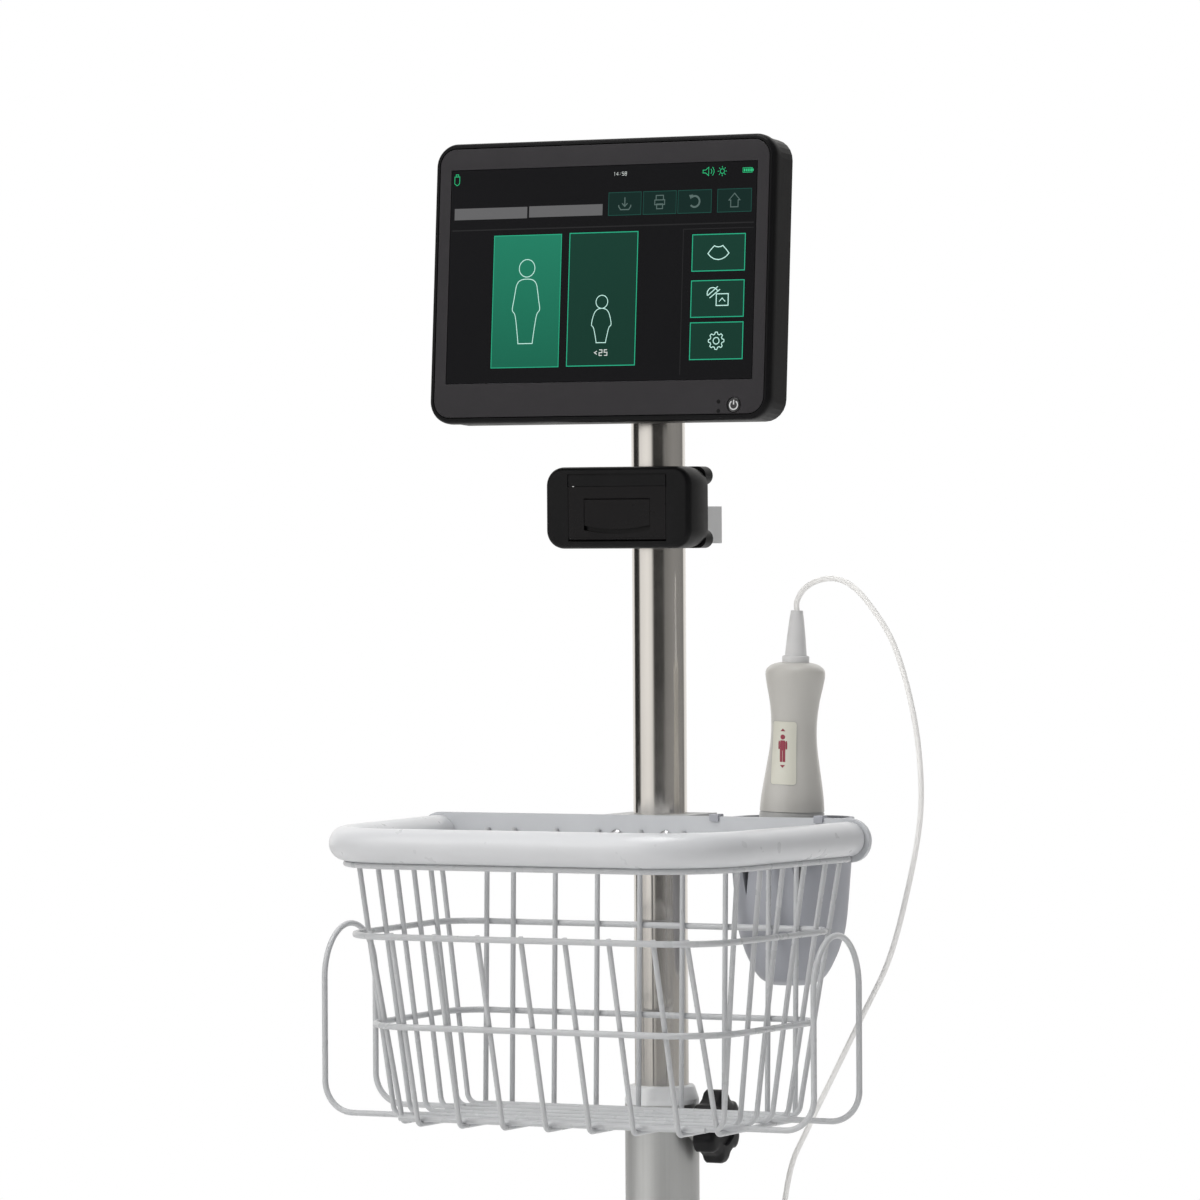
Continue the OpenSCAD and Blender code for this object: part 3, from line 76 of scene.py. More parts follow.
TIP = 0.01  # radius at which a turned profile meets its axis
OUT = Vector((0, -1, 0))
UPRIGHT = Matrix(((1, 0, 0, 0), (0, 0, 1, 0), (0, 1, 0, 0), (0, 0, 0, 1)))
MADE: dict[str, bpy.types.Material] = {}
Array = np.ndarray
Piece = bpy.types.Object
Spot = tuple[float, float, float]
Colour = Spot
Table = tuple[tuple[float, ...], ...]
Outline = Sequence[Sequence[float]]


def shift(x: float, y: float, z: float) -> Matrix:
    """A move by millimetres."""
    return Matrix.Translation(Vector((x, y, z)) * MM)


# Meshes from whole arrays


def unit(rows: Array) -> Array:
    """Each row as a direction of length one."""
    return rows / np.maximum(np.linalg.norm(rows, axis=1, keepdims=True), 1e-9)


def grid_faces(rows: int, columns: int, wrap: bool) -> Array:
    """Quads of a grid of points, row by row; wrap joins the last column to the first.

    Args:
        rows: Number of rows of points.
        columns: Number of points in a row.
        wrap: True where each row is a closed loop.
    Returns:
        An array of four indices to each face.
    """
    spans = columns if wrap else columns - 1
    r, c = np.meshgrid(np.arange(rows - 1), np.arange(spans), indexing="ij")
    near, far = r * columns, (r + 1) * columns
    d = (c + 1) % columns
    return np.stack([near + c, near + d, far + d, far + c], -1).reshape(-1, 4)


def mesh_piece(name: str, points: Array, faces: Outline, smooth: bool = True) -> Piece:
    """A piece at the origin, with doubled points merged and every face turned outwards.

    Args:
        name: Name of the piece.
        points: Points in metres, three numbers each.
        faces: Lists of indices, one to a face.
        smooth: True for smooth shading with sharp edges kept.
    Returns:
        The new object, linked to the scene.
    """
    mesh = bpy.data.meshes.new(name)
    mesh.from_pydata(np.asarray(points, float).reshape(-1, 3), [], [tuple(int(i) for i in f) for f in faces])
    mesh.validate()
    piece = bpy.data.objects.new(name, mesh)
    bpy.context.scene.collection.objects.link(piece)
    with editing(piece) as work:
        bmesh.ops.remove_doubles(work, verts=work.verts, dist=1e-6)
        bmesh.ops.recalc_face_normals(work, faces=work.faces)
    if smooth:
        shade(piece)
    return piece


@contextmanager
def editing(piece: Piece) -> Iterator[bmesh.types.BMesh]:
    """Opens a piece's mesh for editing, and writes it back.

    Args:
        piece: The piece to edit.
    Yields:
        Its mesh as a BMesh, until the block ends.
    """
    work = bmesh.new()
    work.from_mesh(piece.data)
    yield work
    work.to_mesh(piece.data)
    work.free()


def shade(piece: Piece, degrees: float = 32.0) -> None:
    """Shades a piece smooth, keeping edges sharper than the angle."""
    piece.data.shade_smooth()
    piece.data.set_sharp_from_angle(angle=math.radians(degrees))


def lathe(name: str, profile: Array, segments: int = 96, place: Matrix | None = None) -> Piece:
    """Turned solid: each profile row (radius, height) in millimetres sweeps a circle about Z.

    Args:
        name: Name of the piece.
        profile: Rows of radius and height, from one end to the other.
        segments: Points round the circle.
        place: Where the turned solid goes, in metres.
    Returns:
        The new object.
    """
    turn = np.linspace(0.0, 2 * math.pi, segments, endpoint=False)
    r, z = np.asarray(profile, float).T[:, :, None] * MM
    ring = np.stack([r * np.cos(turn), r * np.sin(turn), z + 0 * turn], -1)
    return placed(mesh_piece(name, ring, capped(ring.shape[0], segments)), place)


def capped(rows: int, columns: int, caps: tuple[bool, bool] = (True, True)) -> list[list[int]]:
    """Faces of a tube of closed rows, with a flat face at each end that is capped.

    Args:
        rows: Number of rows of points.
        columns: Number of points in a row.
        caps: Whether the first and the last row are closed.
    Returns:
        Lists of indices, one to a face.
    """
    last = (rows - 1) * columns
    ends = (list(range(columns))[::-1], list(range(last, last + columns)))
    return grid_faces(rows, columns, True).tolist() + [end for end, cap in zip(ends, caps) if cap]


def placed(piece: Piece, place: Matrix | None) -> Piece:
    """Moves a piece's mesh by a matrix, and turns it outwards again where that mirrors it.

    Args:
        piece: The piece to move.
        place: Where it goes, in metres, or None to leave it.
    Returns:
        The same piece.
    """
    if place is not None:
        piece.data.transform(place)
        if place.determinant() < 0:
            piece.data.flip_normals()
    return piece


def facing(piece: Piece, toward: Vector) -> Piece:
    """Turns every face of an open flat piece to one side.

    Args:
        piece: The piece to turn.
        toward: The side that its faces look to.
    Returns:
        The same piece.
    """
    with editing(piece) as work:
        bmesh.ops.reverse_faces(work, faces=[face for face in work.faces if face.normal.dot(toward) < 0])
    return piece


def spline(knots: Outline, steps: int) -> Array:
    """Catmull-Rom curve through knots: on each stretch a cubic whose slopes follow the knots either side.

    Args:
        knots: Points that the curve passes through.
        steps: Samples to a stretch.
    Returns:
        Points along the curve, the last knot included.
    """
    k = np.asarray(knots, float)
    a, b, c, d = np.vstack([k[:1], k[:-2]]), k[:-1], k[1:], np.vstack([k[2:], k[-1:]])
    t = np.linspace(0, 1, steps, endpoint=False)[None, :, None]
    a, b, c, d = (v[:, None, :] for v in (a, b, c, d))
    run = (2 * b + (c - a) * t + (2 * a - 5 * b + 4 * c - d) * t**2 + (3 * b - a - 3 * c + d) * t**3) / 2
    return np.vstack([run.reshape(-1, k.shape[1]), k[-1:]])


def filleted(corners: Outline, r: float, steps: int = 24) -> Array:
    """Path through corners with each inner one rounded.

    The arc's ends lie r over the tangent of half the inner angle from the corner, and its points turn about its centre
    from one end's direction to the other's.

    Args:
        corners: The path's corners, its two ends among them.
        r: Radius of the arcs, in the units of the corners.
        steps: Points to an arc.
    Returns:
        Points along the path.
    """
    p = np.asarray(corners, float)
    share, path = np.linspace(0, 1, steps)[:, None], [p[:1]]
    for before, corner, after in zip(p, p[1:], p[2:]):
        u, v = ((end - corner) / np.linalg.norm(end - corner) for end in (before, after))
        half = math.acos(float(u @ v)) / 2
        centre = corner + (u + v) / np.linalg.norm(u + v) * r / math.sin(half)
        start, end = (corner + w * r / math.tan(half) - centre for w in (u, v))
        turn = math.pi - 2 * half
        path.append(centre + (np.sin((1 - share) * turn) * start + np.sin(share * turn) * end) / math.sin(turn))
    return np.vstack(path + [p[-1:]])


def round_loop(half_w: float, half_h: float, r: float, steps: int = 12) -> Array:
    """Closed loop of a rounded rectangle in its own plane, anticlockwise: a quarter circle in each corner.

    Args:
        half_w: Half its width.
        half_h: Half its height.
        r: Radius of its corners.
        steps: Spans to each corner.
    Returns:
        Points of two numbers, in the units of the sizes.
    """
    q = np.repeat(np.arange(4), steps + 1)
    a = np.radians(90 * q + 90 * np.tile(np.arange(steps + 1), 4) / steps)
    sx = np.where((q == 0) | (q == 3), 1, -1)
    sy = np.where(q < 2, 1, -1)
    return np.stack([sx * (half_w - r) + r * np.cos(a), sy * (half_h - r) + r * np.sin(a)], -1)


def loop_stack(name: str, rows: Outline, place: Matrix,
               steps: int = 12, caps: tuple[bool, bool] = (True, True)) -> Piece:
    """Skin through rounded rectangles.

    Args:
        name: Name of the piece.
        rows: The sections along the skin: depth, half width, half height and corner radius in millimetres.
        place: Takes (x, y, depth) in metres into the row frame.
        steps: Spans to each corner.
        caps: Whether the first and the last section are closed.
    Returns:
        The new object.
    """
    count = 4 * (steps + 1)
    loops = np.stack([np.column_stack([round_loop(w, h, r, steps), np.full(count, d)]) for d, w, h, r in rows])
    return placed(mesh_piece(name, loops * MM, capped(len(rows), count, caps)), place)


def prism(name: str, outline: Array, low: float, high: float, axis: int = 0) -> Piece:
    """A closed outline in millimetres, carried along one axis from one place to another.

    Args:
        name: Name of the piece.
        outline: Points on the other two axes, in their order.
        low: Where the piece starts along the axis, in millimetres.
        high: Where it ends.
        axis: Number of the axis.
    Returns:
        The new object.
    """
    n = len(outline)
    both = np.vstack([np.insert(outline, axis, at, axis=1) for at in (low, high)]) * MM
    k = np.arange(n)
    sides = np.stack([k, k + n, (k + 1) % n + n, (k + 1) % n], -1).tolist()
    return mesh_piece(name, both, [list(range(n)), list(range(2 * n - 1, n - 1, -1))] + sides)


def tube(name: str, path: Array, radius: float, sides: int, up: Spot = (0, 1, 0)) -> Piece:
    """Round tube along a path in metres: each ring stands square to the path, turned from a fixed direction.

    Args:
        name: Name of the piece.
        path: Points of the centreline.
        radius: Radius in metres.
        sides: Points round each ring.
        up: A direction the path never follows.
    Returns:
        The new object.
    """
    heading = unit(np.gradient(path, axis=0))
    side = unit(np.cross(heading, up))
    rise = np.cross(side, heading)
    turn = np.linspace(0, 2 * math.pi, sides, endpoint=False)[None, :, None]
    ring = path[:, None] + radius * (np.cos(turn) * side[:, None] + np.sin(turn) * rise[:, None])
    piece = mesh_piece(name, ring, capped(len(path), sides))
    shade(piece, 75.0)
    return piece


def trimmed(piece: Piece, cutter: Piece) -> Piece:
    """Cuts one mesh out of another and removes the cutter.

    Args:
        piece: The piece to cut.
        cutter: What is cut out of it.
    Returns:
        The same piece, with its new mesh.
    """
    change = piece.modifiers.new("cut", "BOOLEAN")
    change.operation, change.solver, change.object = "DIFFERENCE", "EXACT", cutter
    bpy.context.view_layer.update()
    mesh = bpy.data.meshes.new_from_object(piece.evaluated_get(bpy.context.evaluated_depsgraph_get()))
    piece.modifiers.remove(change)
    piece.data = mesh
    bpy.data.objects.remove(cutter)
    shade(piece)
    return piece


# Shader maths


class Wire:
    """A value or socket of a shader graph, with arithmetic that adds Math nodes."""

    def __init__(self, graph: "Graph", socket: Any) -> None:
        """Holds a graph and one of its outputs."""
        self.graph, self.socket = graph, socket

    def _math(self, operation: str, a: Any, b: Any) -> "Wire":
        """A Math node on two operands."""
        return self.graph.node("ShaderNodeMath", {"operation": operation}, {0: a, 1: b})

    def __add__(self, other: Any) -> "Wire":
        """This plus another."""
        return self._math("ADD", self, other)

    def __radd__(self, other: Any) -> "Wire":
        """Another plus this."""
        return self._math("ADD", other, self)

    def __sub__(self, other: Any) -> "Wire":
        """This less another."""
        return self._math("SUBTRACT", self, other)

    def __rsub__(self, other: Any) -> "Wire":
        """Another less this."""
        return self._math("SUBTRACT", other, self)

    def __mul__(self, other: Any) -> "Wire":
        """This times another."""
        return self._math("MULTIPLY", self, other)

    def __rmul__(self, other: Any) -> "Wire":
        """Another times this."""
        return self._math("MULTIPLY", other, self)

    def ramp(self, low: float, high: float, bottom: float = 0.0, top: float = 1.0) -> "Wire":
        """A straight ramp from bottom to top between two values, level outside them."""
        values = {0: self, 1: low, 2: high, 3: bottom, 4: top}
        return self.graph.node("ShaderNodeMapRange", {"clamp": True}, values)


class Graph:
    """Builds the nodes of one material, or of the world."""

    def __init__(self, owner: bpy.types.Material | bpy.types.World) -> None:
        """Opens the owner's node tree.

        Args:
            owner: The material or the world to build.
        """
        self.owner = owner
        owner.use_nodes = True
        self.tree = owner.node_tree
        self.shader = self.tree.nodes.get("Principled BSDF")

    def node(self, kind: str, settings: dict[str, Any], values: dict[Any, Any], out: Any = 0) -> Wire:
        """Any node: its settings first, then the values or links of its sockets.

        Args:
            kind: Blender's name for the node's type.
            settings: Attributes to set, or "stops" for a ramp's (place, colour) pairs.
            values: Socket name or number to a number, tuple or Wire.
            out: Name or number of the output that is returned.
        Returns:
            The chosen output.
        """
        made = self.tree.nodes.new(kind)
        for key, value in settings.items():
            if key == "stops":
                ramp = made.color_ramp.elements
                for extra in range(len(value) - 2):
                    ramp.new(0.5)
                for stop, (at, colour) in zip(ramp, value):
                    stop.position, stop.color = at, (*colour, 1.0)
            else:
                setattr(made, key, value)
        for key, value in values.items():
            self.feed(made.inputs[key], value)
        return Wire(self, made.outputs[out])

    def feed(self, socket: Any, value: Any) -> None:
        """Links a wire to a socket, or sets the socket's own value.

        Args:
            socket: The socket to feed.
            value: A Wire, a number or a tuple; a colour may leave out its alpha.
        """
        if isinstance(value, Wire):
            self.tree.links.new(value.socket, socket)
        elif isinstance(value, tuple) and socket.type == "RGBA":
            socket.default_value = (*value, 1.0)[:4]
        else:
            socket.default_value = value

    def show(self, shown: Wire) -> None:
        """Feeds a shader to the surface output."""
        end = next(node for node in self.tree.nodes if "Surface" in node.inputs)
        self.feed(end.inputs["Surface"], shown)

    def place(self, stretch: Spot = (1, 1, 1)) -> Wire:
        """Object coordinates, stretched."""
        spot = self.node("ShaderNodeTexCoord", {}, {}, "Object")
        return self.node("ShaderNodeMapping", {}, {"Vector": spot, "Scale": stretch})

    def noise(self, scale: float, detail: float = 2.0, stretch: Spot = (1, 1, 1), rough: float = 0.5) -> Wire:
        """Cloudy noise about a half, at a scale in repeats to the metre."""
        values = {"Vector": self.place(stretch), "Scale": scale, "Detail": detail, "Roughness": rough}
        return self.node("ShaderNodeTexNoise", {}, values, "Fac")

    def axis(self, which: str) -> Wire:
        """One of the object coordinates X, Y or Z, in metres."""
        return self.node("ShaderNodeSeparateXYZ", {}, {"Vector": self.place()}, which)

    def mix(self, share: Any, a: Any, b: Any) -> Wire:
        """A colour between a and b."""
        return self.node("ShaderNodeMix", {"data_type": "RGBA"}, {0: share, 6: a, 7: b}, 2)

    def bump(self, height: Wire, depth: float, strength: float = 1.0) -> None:
        """Feeds the shader's normal with a bump of that depth in metres."""
        values = {"Height": height, "Distance": depth, "Strength": strength}
        self.feed(self.shader.inputs["Normal"], self.node("ShaderNodeBump", {}, values, "Normal"))

    def set(self, **values: Any) -> None:
        """Sets the shader's sockets by name, with spaces written as underscores."""
        for key, value in values.items():
            self.feed(self.shader.inputs[key.replace("_", " ")], value)


@dataclass(frozen=True)
class Finish:
    """What every finish has: a name and a base colour as it is written."""

    name: str
    colour: Colour

    def shades(self, graph: Graph, share: Wire, spread: float) -> Wire:
        """The base colour, a little darker or lighter by the share.

        Args:
            graph: The material's graph.
            share: Nought for the darker shade, one for the lighter.
            spread: How far each shade lies from the base colour, as a share of it.
        Returns:
            The colour.
        """
        dark = tuple(max(0.0, c * (1 - spread)) for c in self.colour)
        light = tuple(min(1.0, c * (1 + spread)) for c in self.colour)
        return graph.mix(share, dark, light)

    def material(self) -> bpy.types.Material:
        """Makes the material, once for each finish.

        Returns:
            The finish's material.
        """
        if self.name not in MADE:
            graph = Graph(bpy.data.materials.new("finish_" + self.name))
            self.build(graph)
            MADE[self.name] = graph.owner
        return MADE[self.name]

    def build(self, graph: Graph) -> None:
        """Adds the nodes of this finish."""
        raise NotImplementedError


@dataclass(frozen=True)
class Moulded(Finish):
    """Moulded plastic with a spark-eroded grain, faint mottling and handling marks."""

    rough: float = 0.5
    grain: float = 2600.0
    depth: float = 0.00006
    coat: float = 0.0
    spread: float = 0.08
    sheen: float = 0.5

    def build(self, graph: Graph) -> None:
        """Fine grain in the bump, broad clouds in the colour, smears in the roughness.

        Args:
            graph: The material's graph.
        """
        grain = graph.noise(self.grain, 3.0)
        smear = graph.noise(35.0, 4.0, rough=0.6)
        graph.set(Base_Color=self.shades(graph, graph.noise(60.0, 3.0), self.spread),
                  Roughness=smear.ramp(0.35, 0.7, self.rough - 0.06, self.rough + 0.07), Coat_Weight=self.coat,
                  Coat_Roughness=0.2, Specular_IOR_Level=self.sheen)
        graph.bump(grain, self.depth, 0.5)


@dataclass(frozen=True)
class Enamel(Finish):
    """Powder or dip coat on metal: slight orange peel, thicker and thinner patches."""

    rough: float = 0.38
    peel: float = 420.0
    depth: float = 0.00012

    def build(self, graph: Graph) -> None:
        """Soft peel in the bump and a cloudy shade.

        Args:
            graph: The material's graph.
        """
        graph.set(Base_Color=self.shades(graph, graph.noise(25.0, 3.0), 0.045),
                  Roughness=graph.noise(90.0, 2.0).ramp(0.3, 0.7, self.rough - 0.05, self.rough + 0.06),
                  Coat_Weight=0.15, Coat_Roughness=0.3)
        graph.bump(graph.noise(self.peel, 2.0), self.depth, 0.35)


@dataclass(frozen=True)
class DrawnMetal(Finish):
    """Metal with fine lines drawn along Z."""

    rough: float = 0.16
    lines: float = 1400.0
    spread: float = 0.05
    smudge: float = 0.05

    def build(self, graph: Graph) -> None:
        """Noise stretched along Z gives the lines; broad noise gives the wipe marks.

        Args:
            graph: The material's graph.
        """
        lines = graph.noise(self.lines, 2.0, (1, 1, 0.012))
        wipe = graph.noise(14.0, 4.0, rough=0.65)
        graph.set(Base_Color=self.shades(graph, lines, self.spread), Metallic=1.0,
                  Roughness=wipe.ramp(0.4, 0.75, self.rough, self.rough + self.smudge))
        graph.bump(lines, 0.00002, 0.3)


@dataclass(frozen=True)
class PlatedMetal(Finish):
    """Zinc or nickel plate with tiny turning marks."""

    rough: float = 0.28

    def build(self, graph: Graph) -> None:
        """Fine noise in the shade and the roughness.

        Args:
            graph: The material's graph.
        """
        graph.set(Base_Color=self.shades(graph, graph.noise(900.0, 2.0), 0.12), Metallic=1.0,
                  Roughness=graph.noise(400.0, 2.0).ramp(0.3, 0.7, self.rough, self.rough + 0.15))
        graph.bump(graph.noise(1500.0, 2.0), 0.00003, 0.3)


@dataclass(frozen=True)
class SoftRubber(Finish):
    """Rubber or silicone: matt, with a light bloom."""

    rough: float = 0.62
    bloom: float = 0.1
    grain: float = 0.00005

    def build(self, graph: Graph) -> None:
        """Broad noise for the bloom and a small grain for the bump.

        Args:
            graph: The material's graph.
        """
        graph.set(Base_Color=self.shades(graph, graph.noise(45.0, 4.0, rough=0.6), self.bloom),
                  Roughness=graph.noise(120.0, 3.0).ramp(0.3, 0.7, self.rough - 0.08, self.rough + 0.1))
        graph.bump(graph.noise(1800.0, 2.0), self.grain, 0.4)


@dataclass(frozen=True)
class PaperStock(Finish):
    """Thermal paper: matt, with fine fibres."""

    def build(self, graph: Graph) -> None:
        """Fibres in the shade, the roughness and the bump.

        Args:
            graph: The material's graph.
        """
        fibres = graph.noise(700.0, 4.0, (0.3, 1, 1))
        graph.set(Base_Color=self.shades(graph, fibres, 0.05), Roughness=fibres.ramp(0.3, 0.7, 0.65, 0.8))
        graph.bump(fibres, 0.00004, 0.4)


@dataclass(frozen=True)
class ScreenGlow(Finish):
    """Lit ink of the display, seen through the glass; also the painted glow of the power button's white sign."""

    glow: float = 0.55
    fade: float = 0.0

    def build(self, graph: Graph) -> None:
        """Lit colour with a slow fade across the height and a fine pixel weave.

        Args:
            graph: The material's graph.
        """
        weave = graph.noise(5200.0, 1.0).ramp(0.2, 0.8, 0.94, 1.06)
        z = graph.axis("Z").ramp(1.10, 1.20, 1 - self.fade, 1 + self.fade)
        share = (weave * z).ramp(0.5, 1.5, 0.0, 1.0)
        dim, bright = (tuple(min(1.0, c * part) for c in self.colour) for part in (0.5, 1.5))
        lit = graph.mix(share, dim, bright)
        graph.set(Base_Color=tuple(c * 0.25 for c in self.colour), Roughness=0.16, Emission_Color=lit,
                  Emission_Strength=self.glow, Specular_IOR_Level=0.05)


@dataclass(frozen=True)
class DarkGlass(Finish):
    """Cover glass over a black mask: near black, polished, with faint finger marks."""

    def build(self, graph: Graph) -> None:
        """Finger marks widen the gloss in broad patches.

        Args:
            graph: The material's graph.
        """
        marks = graph.noise(30.0, 5.0, rough=0.7)
        graph.set(Base_Color=self.shades(graph, graph.noise(8.0), 0.2),
                  Roughness=marks.ramp(0.5, 0.75, 0.07, 0.16), Specular_IOR_Level=0.05)


@dataclass(frozen=True)
class CircuitBoard(Finish):
    """Solder mask over copper lines."""

    def build(self, graph: Graph) -> None:
        """A brick pattern stands in for the copper lines.

        Args:
            graph: The material's graph.
        """
        values = {"Vector": graph.place(), "Scale": 90.0, "Color1": self.colour,
                  "Color2": tuple(c * 1.3 for c in self.colour), "Mortar": (0.35, 0.3, 0.12), "Mortar Size": 0.03}
        lines = graph.node("ShaderNodeTexBrick", {}, values, "Color")
        graph.set(Base_Color=lines, Roughness=0.4)
        graph.bump(graph.noise(300.0), 0.0001, 0.4)


class Look(Enum):
    """Every finish of the scanner."""

    CAST = Enamel("cast_enamel", (0.70, 0.71, 0.72), 0.45, 260.0, 0.0002)
    COLUMN = DrawnMetal("satin_column", (0.55, 0.555, 0.55), 0.40, 900.0, 0.06, 0.1)
    COLLAR = Moulded("pale_collar", (0.72, 0.73, 0.74), 0.42)
    POLE = DrawnMetal("polished_pole", (0.66, 0.635, 0.60), 0.13, 1600.0, 0.03, 0.05)
    WIRE = Enamel("coated_wire", (0.47, 0.48, 0.495), 0.30, 380.0, 0.00002)
    RIM = Enamel("coated_rim", (0.58, 0.59, 0.61), 0.32, 300.0, 0.00002)
    PLATE = Enamel("coated_plate", (0.50, 0.515, 0.54), 0.45, 300.0)
    CLAMP = Enamel("coated_clamp", (0.50, 0.505, 0.51), 0.5, 500.0)
    HOLDER = Moulded("holder_grey", (0.34, 0.35, 0.385), 0.45, 1800.0)
    BLACK = Moulded("black_plastic", (0.006, 0.006, 0.007), 0.42, sheen=0.2)
    PRINTER = Moulded("printer_black", (0.005, 0.005, 0.0055), 0.38, 2200.0, 0.00004, sheen=0.14)
    DOOR = Moulded("door_black", (0.0055, 0.005, 0.0055), 0.30, 2200.0, 0.00003, sheen=0.14)
    BEZEL = Moulded("bezel_plum", (0.030, 0.0285, 0.031), 0.6, 3200.0, 0.00004, 0.0, 0.05, sheen=0.12)
    SHELL = Moulded("shell_black", (0.006, 0.006, 0.0065), 0.36, 2400.0, 0.00002, sheen=0.09)
    HANDLE = Moulded("probe_warm", (0.50, 0.49, 0.465), 0.34, 1500.0, 0.00002, 0.2, 0.03)
    HOUSING = Moulded("probe_cool", (0.42, 0.42, 0.415), 0.36, 1500.0, 0.00002, 0.15, 0.03)
    RELIEF = SoftRubber("relief_rubber", (0.64, 0.64, 0.645), 0.5, 0.04)
    CABLE = SoftRubber("cable_jacket", (0.88, 0.875, 0.865), 0.45, 0.03, 0.000004)
    NOSE = SoftRubber("acoustic_nose", (0.14, 0.145, 0.155), 0.4, 0.06)
    LABEL = Moulded("label_film", (0.62, 0.615, 0.54), 0.4, 900.0, 0.00001, 0.1, 0.03)
    # Painted shadow: the dark line along the label film's edge.
    BORDER = Moulded("label_border", (0.36, 0.36, 0.35), 0.4, 900.0, 0.00001)
    MARK = Moulded("label_ink", (0.27, 0.035, 0.06), 0.45, 900.0, 0.00001)
    PLUG = SoftRubber("plug_rubber", (0.045, 0.045, 0.048), 0.5)
    RUBBER = SoftRubber("platen_rubber", (0.02, 0.02, 0.02), 0.7)
    TREAD = SoftRubber("castor_tread", (0.10, 0.10, 0.105), 0.55)
    FORK = Moulded("fork_nylon", (0.02, 0.02, 0.022), 0.45)
    PEDAL = Moulded("pedal_nylon", (0.035, 0.035, 0.038), 0.4)
    NYLON = Moulded("glide_nylon", (0.03, 0.03, 0.032), 0.5)
    BRACKET = Enamel("bracket_enamel", (0.014, 0.014, 0.015), 0.4, 500.0)
    SCREW = PlatedMetal("plated_screw", (0.62, 0.62, 0.63))
    HEAD = PlatedMetal("head_metal", (0.45, 0.46, 0.48))
    BRASS = PlatedMetal("scan_unit", (0.55, 0.42, 0.18), 0.3)
    BATTERY = Moulded("battery_sleeve", (0.02, 0.06, 0.16), 0.35)
    BOARD = CircuitBoard("solder_mask", (0.01, 0.10, 0.03))
    PANEL = PlatedMetal("panel_frame", (0.30, 0.31, 0.33), 0.35)
    PAPER = PaperStock("thermal_paper", (0.86, 0.86, 0.84))
    GLASS = DarkGlass("cover_glass", (0.006, 0.006, 0.007))
    BUTTON = Moulded("button_black", (0.010, 0.010, 0.011), 0.25)
    # The power button's white sign, given a painted glow of its own.
    LEGEND = ScreenGlow("button_legend", (0.80, 0.82, 0.82), 0.5)
    GLOW_TILE = ScreenGlow("bright_tile", (0.010, 0.135, 0.080), 0.95, 0.35)
    GLOW_DARK = ScreenGlow("dark_tile", (0.006, 0.034, 0.023), 0.95, 0.12)
    GLOW_TOOL = ScreenGlow("tool_tile", (0.005, 0.019, 0.016), 0.9)
    GLOW_EDGE = ScreenGlow("tile_edge", (0.02, 0.36, 0.20), 0.9)
    GLOW_TOOL_EDGE = ScreenGlow("tool_edge", (0.012, 0.070, 0.055), 0.8)
    GLOW_LINE = ScreenGlow("figure_line", (0.50, 0.92, 0.76), 0.9)
    GLOW_ICON = ScreenGlow("tool_icon", (0.085, 0.13, 0.12), 0.9)
    GLOW_STATUS = ScreenGlow("status_green", (0.03, 0.55, 0.22), 0.8)
    GLOW_GREY = ScreenGlow("entry_bar", (0.11, 0.11, 0.113), 0.9)
    GLOW_FAINT = ScreenGlow("divider", (0.018, 0.018, 0.019), 0.9)
    GLOW_TEXT = ScreenGlow("caption_white", (0.62, 0.66, 0.64), 0.8)


def dress(piece: Piece, look: Look) -> None:
    """Gives a piece or a CAD node one finish."""
    piece.data.materials.clear()
    piece.data.materials.append(look.value.material())


# Sub-assemblies


@dataclass
class Assembly:
    """A sub-assembly: the frame it dresses and the body its pieces ride on."""

    model: dict[str, Any]
    body: str = "pole"

    def finish(self, piece: Piece, look: Look, slot: str, *nodes: str, body: str = "") -> None:
        """Dresses a new piece, lets it ride and hides the nodes it stands for.

        Args:
            piece: The new piece.
            look: Its finish.
            slot: The record's material slot; not used.
            nodes: CAD nodes that it replaces, if any.
            body: Body that it rides on, where that isn't the assembly's own.
        """
        dress(piece, look)
        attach(piece, body or self.body)
        if nodes:
            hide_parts(*nodes)
        LOG.info("%s: %d faces, %s", piece.name, len(piece.data.polygons), look.name)

    def dress_nodes(self, **looks: Look) -> None:
        """Dresses CAD nodes that stay."""
        for name, look in looks.items():
            dress(self.model["nodes"][name], look)

    def build(self) -> None:
        """Makes and dresses the pieces."""
        raise NotImplementedError


@dataclass
class Viewpoint:
    """The photograph's camera, level but for a small aim, in metres and degrees."""

    azimuth: float = 26.6
    distance: float = 4.2
    height: float = 1.010
    focal_px: float = 6455.0
    frame_px: float = 1200.0
    pole_u: float = 659.1
    horizon_v: float = 528.6
    roll: float = 0.34
    sensor_mm: float = 36.0

    def build(self) -> None:
        """Sets a camera that sees the pole at its column and the horizon at its row of the photograph."""
        a = math.radians(self.azimuth)
        yaw = math.atan((self.pole_u - self.frame_px / 2) / self.focal_px)
        pitch = math.atan((self.frame_px / 2 - self.horizon_v) / self.focal_px)
        away, right = Vector((-math.sin(a), math.cos(a), 0)), Vector((math.cos(a), math.sin(a), 0))
        level = away * math.cos(yaw) - right * math.sin(yaw)
        side = right * math.cos(yaw) + away * math.sin(yaw)
        aim = level * math.cos(pitch) + Vector((0, 0, -math.sin(pitch)))
        rise = side.cross(aim)
        r = math.radians(self.roll)
        x, y = side * math.cos(r) - rise * math.sin(r), rise * math.cos(r) + side * math.sin(r)
        lens = bpy.data.cameras.new("viewpoint")
        lens.sensor_width, lens.lens = self.sensor_mm, self.sensor_mm * self.focal_px / self.frame_px
        lens.clip_start, lens.clip_end = 0.1, 50.0
        camera = bpy.data.objects.new("viewpoint", lens)
        bpy.context.scene.collection.objects.link(camera)
        turn = Matrix((x, y, -aim)).transposed().to_4x4()
        spot = Vector((self.distance * math.sin(a), -self.distance * math.cos(a), self.height))
        camera.matrix_world = Matrix.Translation(spot) @ turn
        bpy.context.scene.camera = camera
        LOG.info("viewpoint set")


